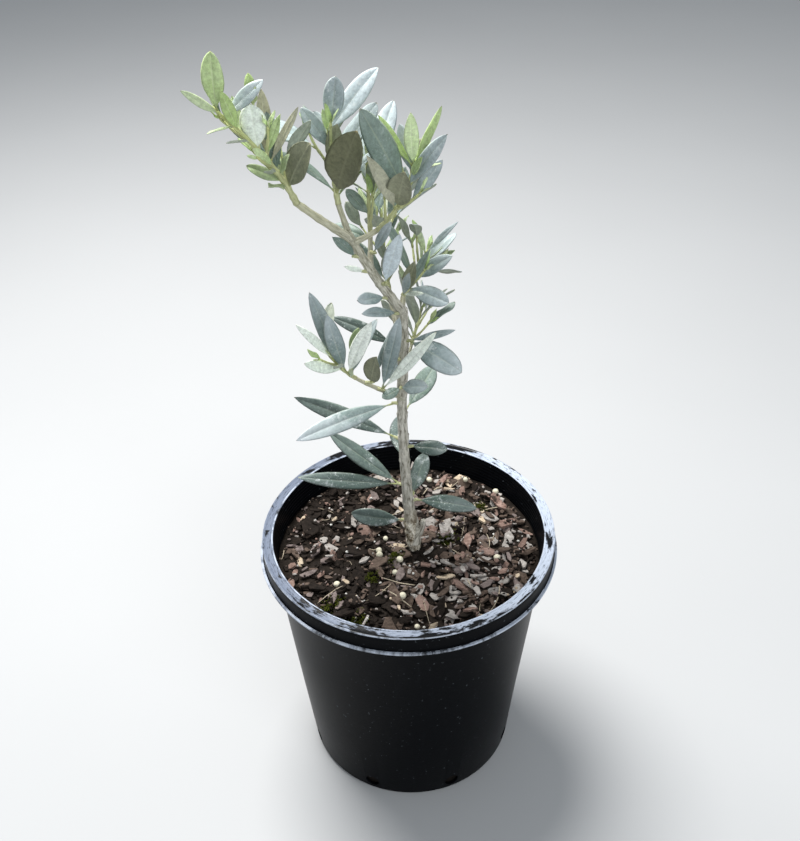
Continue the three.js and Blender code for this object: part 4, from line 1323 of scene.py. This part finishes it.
def tube(line, sides, collar=0.0, nodes=(), ends=True, step=0.8):
    """A round tube along a line, wider at its foot by the collar, with a swelling at each node."""
    stations, length = fine_line(line, step)
    face = first_face
    turn = full_turn(sides)
    points = []
    for i, (at, along, radius) in enumerate(stations):
        face = square_to(face, along)
        across = np.cross(face, along)
        walked = i / (len(stations) - 1) * length
        radius = radius * (1 + collar * math.exp(-walked / collar_reach))
        for spot, swell in nodes:
            radius *= 1 + swell * math.exp(-(((walked - spot) / node_reach) ** 2))
        ring = at + np.outer(np.cos(turn), across) * radius + np.outer(np.sin(turn), face) * radius
        points.append(ring)
    return np.concatenate(points), ring_faces(len(stations), sides, ends)


# %% The limbs as tubes that are sunk in one another
limb_shapes = Gathered()
limb_sides, limb_collar, limb_swelling = 18, 0.28, 0.13
node_gaps, small_gap = {"trunk": 17, "left_bough": 12, "left_outer_bough": 11}, 9
foot_under_mix, foot_flare = 5, 1.15
for name, line in lines.items():
    gap = node_gaps.get(name, small_gap)
    nodes = [(spot, limb_swelling) for spot in np.arange(gap, line_length(line) - 3, gap)]
    if name == "trunk":
        start, along, radius = line[0]
        line = [(start - (0, 0, foot_under_mix), along, radius * foot_flare)] + list(line)
    limb_shapes.add(*tube(line, limb_sides, 0 if name == "trunk" else limb_collar, nodes))
print("tubes of limbs:", len(limb_shapes.points))

# %% Knobs at the trunk's foot
knobs, knob_sides, knob_depth = 16, 12, 0.62
knob_profile = ((-3.2, 0.5), (-1.6, 1.5), (0, 1.9), (1.8, 1.4), (3.4, 0.4))
foot_draw = dice(41)
for knob in range(knobs):
    height = foot_draw(2, 34)
    at, along, radius = along_line(lines["trunk"], height / trunk_rise)
    bearing = math.radians(foot_draw(0, 360))
    out = np.array([math.cos(bearing), math.sin(bearing), 0])
    start = at + out * radius * knob_depth
    lump = [(start + along * rise, along, size) for rise, size in knob_profile]
    limb_shapes.add(*tube(lump, knob_sides, step=0.7))
print("knobs at the foot:", knobs)

# %% A pair of raised scars where each old pair of leaves sat
scar_sides, scar_rise = 10, 35
scar_places = (
    (30, 200), (44, -20), (60, 70), (77, -110), (95, 20), (112, 190), (131, -70), (150, 110), (168, -30),
)
for height, bearing in scar_places:
    for side in (0, 180):
        at, along, radius = along_line(lines["trunk"], height / trunk_rise)
        out = heading(bearing + side, scar_rise)
        reaches = ((radius * 0.6, 1.15), (radius + 0.5, 0.95), (radius + 1.2, 0.7))
        stub = [(at + out * reach, out, size) for reach, size in reaches]
        limb_shapes.add(*tube(stub, scar_sides, step=0.5))
print("pairs of scars:", len(scar_places))

# %% Join the tubes as one skin with eased forks
skin_face, easing_rounds = 0.00036, 5
limbs = limb_shapes.piece("trunk_and_boughs", [bark])
skin = limbs.modifiers.new("one skin", "REMESH")
skin.mode, skin.voxel_size, skin.adaptivity = "VOXEL", skin_face, 0
easing = limbs.modifiers.new("eased forks", "SMOOTH")
easing.factor, easing.iterations = 0.5, easing_rounds
with_modifiers(limbs)
print("one skin:", len(limbs.data.polygons), "faces")

# %% Find the limb that a point of the skin belongs to


def limb_tree(line_by_name):
    """A search tree over the limbs, with each sample's line, walked length and own directions."""
    samples = []
    for number, (name, line) in enumerate(line_by_name.items()):
        stations, length = fine_line(line, 1.0)
        face = first_face
        for i, (at, along, radius) in enumerate(stations):
            face = square_to(face, along)
            walked = i / (len(stations) - 1) * length
            samples.append((name, number, at, walked, length, face, np.cross(face, along), radius))
    search = kdtree.KDTree(len(samples))
    for i, sample in enumerate(samples):
        search.insert(Vector(sample[2]), i)
    search.balance()
    return search, samples


# %% How green each limb is at its foot and at its tip, and where the trunk is knotty
green_from_to = {
    "trunk": (0, 0.04), "old_stub": (0, 0), "left_bough": (0.05, 0.3), "left_outer_bough": (0.3, 0.75),
    "upper_bough": (0.2, 0.6), "right_bough": (0.3, 0.7), "inner_bough": (0.2, 0.5),
    "leader_bough": (0.2, 0.5), "back_bough": (0.1, 0.5), "low_left_bough": (0.2, 0.6),
    "low_back_bough": (0.2, 0.5),
}
knotty_height, knotty_reach = 18, 26
print("the trunk is knotty round", knotty_height, "mm over the start of its line")


def knottiness(name, height):
    """From 1 at the middle of the trunk's foot down to 0 above and below it, and 0 on other limbs."""
    if name != "trunk":
        return 0.0
    return max(0.0, 1 - abs(height - trunk_start - knotty_height) / knotty_reach)


# %% Move the skin along its grain, and give it its marks
streaks_round, streaks_along, streaks_apart = 2.6, 0.16, 7
fine_ridge, lump_grain, knob_grain = 2.7, 0.22, 0.62
ridge_push, lump_push, foot_lump_push, foot_knob_push = 0.05, 0.05, 0.13, 0.12


def dress_limbs(piece):
    """Moves each point in or out along its limb's grain, and gives it its marks."""
    search, samples = limb_tree(lines)
    mesh = piece.data
    count = len(mesh.vertices)
    places = np.empty(count * 3, np.float32)
    mesh.vertices.foreach_get("co", places)
    places = places.reshape(-1, 3) * millimetres_in_metre
    grain = np.empty((count, 3), np.float32)
    green, feet = np.empty(count, np.float32), np.empty(count, np.float32)
    for i, point in enumerate(places):
        _, index, _ = search.find(Vector(point))
        name, number, at, walked, length, face, across, radius = samples[index]
        offset = point - at
        around = math.atan2(offset.dot(face), offset.dot(across))
        streak = (math.cos(around) * streaks_round + number * streaks_apart, math.sin(around) * streaks_round)
        grain[i] = (*streak, walked * streaks_along)
        low, high = green_from_to[name]
        green[i] = low + (high - low) * walked / length
        foot = knottiness(name, point[2])
        feet[i] = min(1, foot * 1.4)
        ridge = noise.noise(Vector(grain[i])) + 0.5 * noise.noise(Vector(grain[i]) * fine_ridge)
        lump = noise.noise(Vector(point) * lump_grain)
        knob = noise.noise(Vector(point) * knob_grain)
        lumpiness = lump_push + foot_lump_push * foot
        push = radius * (ridge_push * ridge + lumpiness * lump + foot_knob_push * foot * knob)
        places[i] = point + unit(offset) * push
    mesh.vertices.foreach_set("co", (places * millimetre).ravel())
    for axis, letter in enumerate("xyz"):
        set_mark(mesh, "grain_" + letter, grain[:, axis])
    set_mark(mesh, "green", green)
    set_mark(mesh, "foot", feet)
    mesh.polygons.foreach_set("use_smooth", [True] * len(mesh.polygons))
    mesh.update()
    return green


green = dress_limbs(limbs)
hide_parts("trunk", *boughs)
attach(limbs, "root")
print("bark relief done, greenest place:", round(float(green.max()), 2))

# %% [markdown]
# ## Green shoots
# Each mass of leaves hangs on a thin stem with side twigs, and each leaf on the trunk on a short spur. They
# are too thin for the shared skin, so each is a fine tube of its own that starts inside the limb it grew
# from. Small swellings mark the nodes, and every shoot ends in a tapered bud.

# %% Tubes for stems, twigs, spurs and buds
shoot_shapes = Gathered()
shoot_sides, shoot_collar, shoot_step = 10, 0.25, 0.9
first_swelling, swelling_gap, shoot_swelling = 4.5, 6.2, 0.22
bud_profile = ((-0.6, 0.9), (0.6, 1.15), (1.8, 0.95), (3.0, 0.55), (3.8, 0.12))
foot_green, spur_green, bud_green = 0.35, 0.4, 1.0
fresh_green, old_green = 0.95, 0.75
shoot_streaks_round, shoot_streaks_along = 2.2, 0.2


def add_shoot(line, base_green, tip_green):
    """A fine tube that turns from one green to another along its length."""
    length = line_length(line)
    nodes = [(spot, shoot_swelling) for spot in np.arange(first_swelling, length, swelling_gap)]
    points, faces = tube(line, shoot_sides, shoot_collar, nodes, step=shoot_step)
    rings = len(points) // shoot_sides
    walked = np.repeat(np.linspace(0, 1, rings), shoot_sides)
    turn = np.tile(full_turn(shoot_sides), rings)
    shoot_shapes.add(points, faces, 0, green=base_green + (tip_green - base_green) * walked,
                     grain_x=np.cos(turn) * shoot_streaks_round + len(shoot_shapes.points),
                     grain_y=np.sin(turn) * shoot_streaks_round,
                     grain_z=walked * length * shoot_streaks_along)


def bud_line(line):
    at, along, radius = line[-1]
    return [(at + along * rise, along, radius * size) for rise, size in bud_profile]


for shoot in shoots:
    if shoot["spur"]:
        add_shoot(shoot["line"], foot_green, spur_green)
        continue
    tip_green = fresh_green if shoot["mass"] in fresh_masses else old_green
    add_shoot(shoot["line"], foot_green, tip_green)
    add_shoot(bud_line(shoot["line"]), tip_green, bud_green)
green_shoots = shoot_shapes.piece("green_shoots", [shoot_bark])
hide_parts(*foliage_nodes)
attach(green_shoots, "root")

# %% [markdown]
# ## Bark mix
# The pot is filled with composted bark: flat chips 3 to 20 mm long in browns, greys and reds, lying every
# way on finer crumbs, with cream beads of slow fertiliser, white grit, pale fibres and a little moss. Chips
# that are dropped one by one on a height map lie on each other as real ones do, so nothing floats and
# nothing is buried by accident.

# %% Finishes of the mix


def mix_finish(name, colour, second, roughness=0.85, scale=260, relief_by=0.0006):
    """A rough grain of two colours, darker in some parts, with a little dust."""
    material, tree, shader = new_finish(name, roughness, 0.1)
    at = place(tree)
    darker = tuple(c * 0.55 for c in second)
    dusty = tuple(c * 1.35 + 0.006 for c in second)
    grain = speckle(tree, place(tree, (1, 1.9, 2.6)), scale, 6, 0.68)
    dark_part = between(tree, speckle(tree, at, 38, 2), 0.4, 0.65, 0, 0.5)
    colour = mix(tree, between(tree, grain, 0.34, 0.66), colour, second)
    colour = mix(tree, dark_part, colour, darker)
    dust = between(tree, speckle(tree, at, 900, 3), 0.6, 0.72, 0, 0.35)
    fill(tree, shader.inputs["Base Color"], mix(tree, dust, colour, dusty))
    relief(tree, shader, grain, relief_by, 0.8)
    return material


# The bed under the chips is nearly black: dark fines, darkened further as painted shade in the gaps between
# chips.
humus_and_gap_shade = mix_finish("dark_humus_and_gap_shade", (0.007, 0.0055, 0.0045), (0.03, 0.023, 0.018), 0.95, 420)
chip_finishes = [
    mix_finish("chip_brown", (0.042, 0.03, 0.023), (0.16, 0.118, 0.094)),
    mix_finish("chip_grey", (0.19, 0.17, 0.155), (0.5, 0.465, 0.43)),
    mix_finish("chip_pink", (0.11, 0.062, 0.048), (0.34, 0.238, 0.2)),
    mix_finish("chip_plum", (0.08, 0.062, 0.057), (0.27, 0.22, 0.205)),
    # Nearly black chips, laid mostly at the bottom: dark bark, darkened further as painted shade in the gaps.
    mix_finish("chip_dark_and_gap_shade", (0.006, 0.0048, 0.004), (0.026, 0.0195, 0.0155)),
    mix_finish("chip_tan", (0.34, 0.25, 0.165), (0.64, 0.54, 0.41)),
]
bead_finish = mix_finish("feed_bead", (0.6, 0.56, 0.42), (0.76, 0.72, 0.57), 0.45, 500, 0.0002)
grit_finish = mix_finish("white_grit", (0.55, 0.54, 0.5), (0.78, 0.77, 0.73), 0.8, 700)
fibre_finish = mix_finish("pale_fibre", (0.33, 0.27, 0.19), (0.55, 0.48, 0.37), 0.8, 500)
moss_finish = mix_finish("moss_green", (0.05, 0.066, 0.008), (0.17, 0.2, 0.025), 0.9, 800)
print("finishes of the chips:", len(chip_finishes))

# %% The height map that things are dropped on
mix_radius, cell, mix_base = 87.9, 1.0, 171.3
unevenness, edge_sag, sag_from, sag_over = 1.7, -1.6, 0.72, 0.28
hump_at, hump_height, hump_spread = 4, 1.0, 150
half_cells = int(mix_radius / cell) + 6


def cell_of(x, y):
    """The row and column of the height map under a place."""
    return int(round(x / cell)) + half_cells, int(round(y / cell)) + half_cells


def bare_height(x, y):
    """The fine mix under the chips: uneven, lower by the wall, with a low hump round the trunk."""
    sag = edge_sag * max(0, math.hypot(x, y) / mix_radius - sag_from) / sag_over
    hump = hump_height * math.exp(-((x - hump_at) ** 2 + y**2) / hump_spread)
    return mix_base + unevenness * noise.noise(Vector((x, y, 0)) * 0.05) + sag + hump


steps = np.arange(-half_cells, half_cells + 1) * cell
grid_x, grid_y = np.meshgrid(steps, steps, indexing="ij")
heights = np.array([[bare_height(x, y) for y in steps] for x in steps])
ground = heights.copy()
print("bare mix in mm, from and to:", round(float(ground.min()), 1), round(float(ground.max()), 1))


# %% Lay a thing on the heights under it


def drop(x, y, long_side, short_side, turn, thick, most_tilt=0.5):
    """Lays a flat thing on the heights under it, and returns its middle and its three directions."""
    seated_above, few_cells = 72, 4
    across, along = np.array([-math.sin(turn), math.cos(turn)]), np.array([math.cos(turn), math.sin(turn)])
    reach = int(max(long_side, short_side) / 2 / cell) + 1
    i, j = cell_of(x, y)
    window = (slice(max(i - reach, 0), i + reach + 1), slice(max(j - reach, 0), j + reach + 1))
    dx, dy = grid_x[window] - x, grid_y[window] - y
    u, v = dx * along[0] + dy * along[1], dx * across[0] + dy * across[1]
    under = (u / (long_side / 2)) ** 2 + (v / (short_side / 2)) ** 2 <= 1.0
    if under.sum() < few_cells:
        z = heights[i, j]
        heights[i, j] = max(heights[i, j], z + thick * 0.6)
        return np.array([x, y, z + thick / 2]), np.eye(3)
    table = np.stack([dx[under], dy[under], np.ones(under.sum())], 1)
    level = heights[window][under]
    (slope_x, slope_y, middle), *_ = np.linalg.lstsq(table, level, rcond=None)
    slope = math.hypot(slope_x, slope_y)
    if slope > most_tilt:
        slope_x, slope_y = slope_x * most_tilt / slope, slope_y * most_tilt / slope
    middle += np.percentile(level - table @ (slope_x, slope_y, middle), seated_above)
    normal = unit(np.array([-slope_x, -slope_y, 1.0]))
    lengthwise = square_to(np.array([along[0], along[1], 0.0]), normal)
    top = middle + dx * slope_x + dy * slope_y + thick
    patch = heights[window]
    patch[under] = np.maximum(patch[under], top[under])
    return np.array([x, y, middle + thick / 2]), np.array([lengthwise, np.cross(normal, lengthwise), normal])


# %% A free place in the pot
mix_draw = np.random.default_rng(2024)
trunk_foot = np.array([4.3, 0.0])


def free_spot(size, clear=4.2):
    """A place in the pot that is clear of the wall and of the trunk's foot."""
    while True:
        reach = (mix_radius - size * 0.5) * math.sqrt(mix_draw.random())
        turn = mix_draw.random() * 2 * math.pi
        x, y = reach * math.cos(turn), reach * math.sin(turn)
        if math.hypot(x - trunk_foot[0], y - trunk_foot[1]) > clear + size * 0.3:
            return x, y


# %% A chip: an uneven slab with broken corners


def chip_shape(long_side, short_side, thick):
    """Points of the slab in its own directions: a top, a wider waist and an underside, each ring uneven."""
    corners = int(mix_draw.integers(5, 9))
    turn = (np.arange(corners) + mix_draw.uniform(-0.28, 0.28, corners)) / corners * 2 * math.pi
    reach = mix_draw.uniform(0.62, 1.08, corners)
    outline = np.stack([np.cos(turn) * reach * long_side / 2, np.sin(turn) * reach * short_side / 2], 1)
    profile = ((0.9, 0.5, 0.12), (1.0, 0.3, 0.1), (0.95, -0.36, 0.08), (0.7, -0.5, 0.04))
    bend = mix_draw.uniform(-0.02, 0.05) / max(long_side, 6) * 6
    rings = []
    for inset, level, rough in profile:
        spread = outline * (inset + mix_draw.uniform(-0.05, 0.05, (corners, 1)))
        z = level * thick + mix_draw.uniform(-rough, rough, corners) * thick + bend * spread[:, 0] ** 2
        rings.append(np.column_stack([spread, z]))
    middle = [0, 0, thick * mix_draw.uniform(0.42, 0.6)]
    points = np.concatenate(rings + [[middle]])
    faces = [tuple(reversed(face)) for face in ring_faces(len(profile), corners, False)]
    last = len(profile) * corners
    faces += [(i, (i + 1) % corners, last) for i in range(corners)]
    faces.append(tuple(last - corners + i for i in reversed(range(corners))))
    return points, faces


# %% Lay the chips from small to large, with some small ones on top
chips = Gathered()
# More chips are dark left of the first line, and fewer are dark right of the second.
darker_left_of, darker_left_odds, paler_right_of, paler_right_odds = -12, 0.5, 22, 0.3
grey_chip, dark_chip = 1, 4
long_odds, loose_roll, loose_pitch, footprint = 0.35, 0.36, 0.2, 0.86


def loosened(axes):
    """Turns a chip a little out of the plane that it was laid on."""
    roll = Matrix.Rotation(mix_draw.normal(0, loose_roll), 3, Vector(axes[0]))
    pitch = Matrix.Rotation(mix_draw.normal(0, loose_pitch), 3, Vector(axes[1]))
    return axes @ np.array(roll @ pitch).T


def chip_kind(x, kinds_share):
    """A finish by its share, darker to the left of the pot and paler to the right."""
    kind = int(mix_draw.choice(len(chip_finishes), p=kinds_share))
    if x < darker_left_of and mix_draw.random() < darker_left_odds:
        return dark_chip
    if x > paler_right_of and kind == dark_chip and mix_draw.random() < paler_right_odds:
        return grey_chip
    return kind


def lay_chips(count, longest, shortest, kinds_share, thickness):
    for _ in range(count):
        if mix_draw.random() < long_odds:
            long_side = longest * mix_draw.uniform(0.5, 1)
        else:
            long_side = shortest * mix_draw.uniform(1, 1.7)
        short_side = long_side * mix_draw.uniform(0.3, 0.72)
        thick = mix_draw.uniform(*thickness) * (0.7 + long_side / 30)
        x, y = free_spot(long_side)
        turn = mix_draw.random() * math.pi
        middle, axes = drop(x, y, long_side * footprint, short_side * footprint, turn, thick)
        axes = loosened(axes)
        points, faces = chip_shape(long_side, short_side, thick)
        chips.add(points @ axes + middle, faces, chip_kind(x, kinds_share))


# Count, longest and shortest in mm, the share of each finish, and the thickness in mm
lay_chips(1000, 8, 2.8, (0.28, 0.04, 0.05, 0.07, 0.55, 0.01), (0.8, 1.4))
lay_chips(540, 14, 5.5, (0.34, 0.1, 0.09, 0.13, 0.31, 0.03), (0.9, 1.7))
lay_chips(210, 20, 9, (0.3, 0.18, 0.14, 0.2, 0.14, 0.04), (1.0, 1.9))
lay_chips(250, 11, 3.6, (0.26, 0.22, 0.12, 0.13, 0.19, 0.08), (0.7, 1.2))
bark_chips = chips.piece("bark_chips", chip_finishes, smooth=False)
print("top of the chips in mm:", round(float(heights.max()), 1))

# %% Small shapes: an uneven lump and a ball


def pebble(size, flat, sides=6):
    """A small uneven lump: a top and an underside point with two rings between."""
    turn = full_turn(sides)
    rings = []
    for level, reach in ((0.5, 0.72), (-0.12, 1.0)):
        wide = size / 2 * reach * mix_draw.uniform(0.75, 1.15, sides)
        z = np.full(sides, level * size * flat)
        rings.append(np.column_stack([np.cos(turn) * wide, np.sin(turn) * wide, z]))
    points = np.concatenate(rings + [[(0, 0, size * flat * 0.7), (0, 0, -size * flat * 0.6)]])
    faces = [tuple(reversed(face)) for face in ring_faces(2, sides, False)]
    faces += [(i, (i + 1) % sides, 2 * sides) for i in range(sides)]
    faces += [(sides + (i + 1) % sides, sides + i, 2 * sides + 1) for i in range(sides)]
    return points, faces


def bead(size, sides=14, rings=9):
    """A smooth ball, a little flattened."""
    turn = full_turn(sides)
    squash = mix_draw.uniform(0.84, 1.0)
    points = []
    for rise in np.linspace(0.12, math.pi - 0.12, rings):
        wide, z = math.sin(rise), -math.cos(rise) * squash
        points.append(np.column_stack([np.cos(turn) * wide, np.sin(turn) * wide, np.full(sides, z)]))
    return np.concatenate(points) * size / 2, ring_faces(rings, sides)


# %% Scatter crumbs, beads and grit


def scatter(count, sizes, shape, name, finishes, clear=5.5, smooth=False, spread=None, finish_share=None):
    """Drops many small shapes on the mix, each with a size and a turn of its own."""
    least_footprint, most_tilt = 2.1, 0.8
    gathered = Gathered()
    for _ in range(count):
        size = mix_draw.uniform(*sizes)
        x, y = free_spot(size, clear) if spread is None else spread()
        wide = max(size, least_footprint)
        middle, axes = drop(x, y, wide, wide, 0, size * 0.45, most_tilt)
        points, faces = shape(size)
        turn = mix_draw.random() * 2 * math.pi
        cosine, sine = math.cos(turn), math.sin(turn)
        spin = np.array([[cosine, sine, 0], [-sine, cosine, 0], [0, 0, 1]])
        kind = 0 if finish_share is None else int(mix_draw.choice(len(finishes), p=finish_share))
        gathered.add(points @ spin @ axes + middle, faces, kind)
    return gathered.piece(name, finishes, smooth)


crumbs = scatter(700, (0.9, 2.4), lambda size: pebble(size, mix_draw.uniform(0.3, 0.7)), "bark_crumbs",
                 chip_finishes, finish_share=(0.34, 0.05, 0.07, 0.1, 0.42, 0.02))
bead_places = [(-20, -3), (-9, -25), (62, 50), (-4, -50)]
beads = scatter(15, (3.4, 4.7), bead, "feed_beads", [bead_finish], smooth=True,
                spread=lambda: bead_places.pop() if bead_places else free_spot(4))
grit = scatter(50, (0.8, 2.1), lambda size: pebble(size, 0.6, 7), "white_grit_bits", [grit_finish])

# %% Pale fibres that lie across the chips
fibre_steps, fibres_wanted, over_mix, by_wall = 7, 34, 0.35, 2
fibre_sides, fibre_gap, thickest_at = 5, 2.0, 0.45


def fibre_line(length):
    """A thin bent splinter that lies on the mix."""
    x, y = free_spot(length)
    turn, bend = mix_draw.random() * 2 * math.pi, mix_draw.normal(0, 0.5)
    line = []
    for i in range(fibre_steps + 1):
        angle = turn + bend * i / fibre_steps
        line.append([x, y, heights[cell_of(x, y)] + 0.3])
        x, y = x + math.cos(angle) * length / fibre_steps, y + math.sin(angle) * length / fibre_steps
    line = np.array(line)
    line[:, 2] = np.convolve(np.pad(line[:, 2], 2, "edge"), np.ones(5) / 5, "valid") + over_mix
    if (np.hypot(line[:, 0], line[:, 1]) > mix_radius - by_wall).any():
        return None
    width = mix_draw.uniform(0.22, 0.55)
    directions = [unit(b - a) for a, b in zip(line, line[1:])]
    directions.append(directions[-1])
    radii = [width * (1 - abs(i / fibre_steps - thickest_at)) for i in range(fibre_steps + 1)]
    return list(zip(line, directions, radii))


fibre_shapes = Gathered()
for _ in range(fibres_wanted):
    line = fibre_line(mix_draw.uniform(5, 24))
    if line:
        fibre_shapes.add(*tube(line, fibre_sides, step=fibre_gap))
fibres = fibre_shapes.piece("pale_fibres", [fibre_finish])

# %% Moss in small cushions where the mix stays damp
# Each cushion: its place to the side and back, and its width
moss_places = ((-38, -66, 11), (-48, -54, 7), (-9, -12, 6), (26, 8, 7), (-24, -30, 5), (50, 40, 5))
moss_leaves, moss_leaf_turn, moss_leaf_half, moss_leaf_thick = 7, 2.4, 0.28, 0.16
clear_of_trunk, deepest_moss = 5.4, 5.5
cushion_spread, tufts_to_area = 0.42, 3


def moss_tuft(middle, shapes):
    """A tiny upright shoot with narrow leaves all round."""
    height = mix_draw.uniform(0.8, 2.0)
    for leaf in range(moss_leaves):
        turn = leaf * moss_leaf_turn + mix_draw.random()
        out = np.array([math.cos(turn), math.sin(turn), mix_draw.uniform(0.5, 1.4)])
        side = np.array([-math.sin(turn), math.cos(turn), 0]) * moss_leaf_half
        root = middle + (0, 0, height * leaf / 10)
        tip = root + unit(out) * mix_draw.uniform(0.8, 1.5)
        belly = (root + tip) / 2 + (0, 0, 0.14)
        points = np.array([root, belly + side, tip, belly - side, belly - (0, 0, moss_leaf_thick)])
        shapes.add(points, [(0, 1, 2), (0, 2, 3), (0, 4, 1), (1, 4, 2), (2, 4, 3), (3, 4, 0)])


moss_shapes = Gathered()
for x0, y0, wide in moss_places:
    for _ in range(int(wide * wide * tufts_to_area)):
        x, y = mix_draw.normal(x0, wide * cushion_spread), mix_draw.normal(y0, wide * cushion_spread)
        by_trunk = math.hypot(x - trunk_foot[0], y - trunk_foot[1]) < clear_of_trunk
        if by_trunk or math.hypot(x, y) > mix_radius - by_wall:
            continue
        spot = cell_of(x, y)
        if heights[spot] - ground[spot] > deepest_moss:
            continue
        moss_tuft(np.array([x, y, heights[spot] - 0.3]), moss_shapes)
moss = moss_shapes.piece("moss", [moss_finish])

# %% The fine dark mix that everything lies on, made nearly black as painted shade in the gaps between the chips
bed_rings, bed_sides, bed_foot, bed_clearance = 44, 132, 2.4, 0.4
bed_points = []
for ring in range(1, bed_rings + 1):
    for side in range(bed_sides):
        reach, turn = mix_radius * ring / bed_rings, side / bed_sides * 2 * math.pi
        x, y = reach * math.cos(turn), reach * math.sin(turn)
        crumbly = 1.3 * noise.noise(Vector((x, y, 5)) * 0.4)
        bed_points.append((x, y, ground[cell_of(x, y)] + crumbly))
bed_top = len(bed_points)
bed_points.append((0, 0, ground[cell_of(0, 0)]))
bed_faces = [tuple(reversed(face)) for face in ring_faces(bed_rings, bed_sides, False)]
bed_faces += [(side, (side + 1) % bed_sides, bed_top) for side in range(bed_sides)]
foot_radius = wall_outside(2.6) - wall - bed_clearance
turn = full_turn(bed_sides)
bed_points += list(zip(foot_radius * np.cos(turn), foot_radius * np.sin(turn), np.full(bed_sides, bed_foot)))
rim_start, foot_start = bed_top - bed_sides, bed_top + 1
for side in range(bed_sides):
    after = (side + 1) % bed_sides
    bed_faces.append((foot_start + side, foot_start + after, rim_start + after, rim_start + side))
bed_faces.append(tuple(foot_start + side for side in reversed(range(bed_sides))))
bed = make_piece("mix_bed", bed_points, bed_faces, [humus_and_gap_shade])
for piece in (bed, bark_chips, crumbs, beads, grit, fibres, moss):
    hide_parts("soil")
    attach(piece, "root")

# %% [markdown]
# ## Studio
# The plant stands on a plain pale floor in soft light. The photograph was lit by a bright even roof: a broad
# light overhead and a little behind makes the lip and the upper faces shine as there, and a weaker one fills
# the front.

# %% Floor, sky and lights
floor_half = 6
floor_grey, floor_light = (0.46, 0.465, 0.47), (0.49, 0.495, 0.50)
floor_mesh = bpy.data.meshes.new("floor")
floor_corners = [(x * floor_half, y * floor_half, 0) for x, y in ((-1, -1), (1, -1), (1, 1), (-1, 1))]
floor_mesh.from_pydata(floor_corners, [], [(0, 1, 2, 3)])
floor_finish, tree, shader = new_finish("pale_floor", 0.85, 0.2)
floor_tone = speckle(tree, place(tree), 3, 2)
fill(tree, shader.inputs["Base Color"], mix(tree, floor_tone, floor_grey, floor_light))
floor_mesh.materials.append(floor_finish)
floor = bpy.data.objects.new("floor", floor_mesh)
bpy.context.scene.collection.objects.link(floor)
floor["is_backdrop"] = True

world = bpy.data.worlds.new("soft sky")
world.use_nodes = True
sky = world.node_tree.nodes["Background"].inputs
sky["Color"].default_value = (0.86, 0.93, 1.0, 1)
sky["Strength"].default_value = 0.42
bpy.context.scene.world = world
bpy.context.scene.view_settings.view_transform = "Standard"


def soft_light(name, at, toward, size, power, colour):
    """A round lamp with its place and width in metres and its power in watts."""
    lamp = bpy.data.lights.new(name, "AREA")
    lamp.shape, lamp.size, lamp.energy, lamp.color = "DISK", size, power, colour
    light = bpy.data.objects.new(name, lamp)
    light.location = at
    light.rotation_mode = "QUATERNION"
    light.rotation_quaternion = (Vector(toward) - Vector(at)).to_track_quat("-Z", "Y")
    bpy.context.scene.collection.objects.link(light)


soft_light("roof", (-0.35, 0.45, 1.5), (0, 0, 0.3), 0.8, 40, (1, 0.99, 0.97))
soft_light("front fill", (0.7, -1.2, 1.0), (0, 0, 0.3), 1.2, 11, (0.95, 0.98, 1))

# %% [markdown]
# ## How far the plant reaches past the frame
# The dressed plant has to stay in the box of the frame, so how far it reaches past that box on each side is
# printed.

# %% Print how far the plant reaches past the frame's box
low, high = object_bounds()
past_low = [round((a - b) * millimetres_in_metre, 1) for a, b in zip(cad_low, low)]
past_high = [round((b - a) * millimetres_in_metre, 1) for a, b in zip(cad_high, high)]
print("past the frame's box in mm:", past_low, past_high)
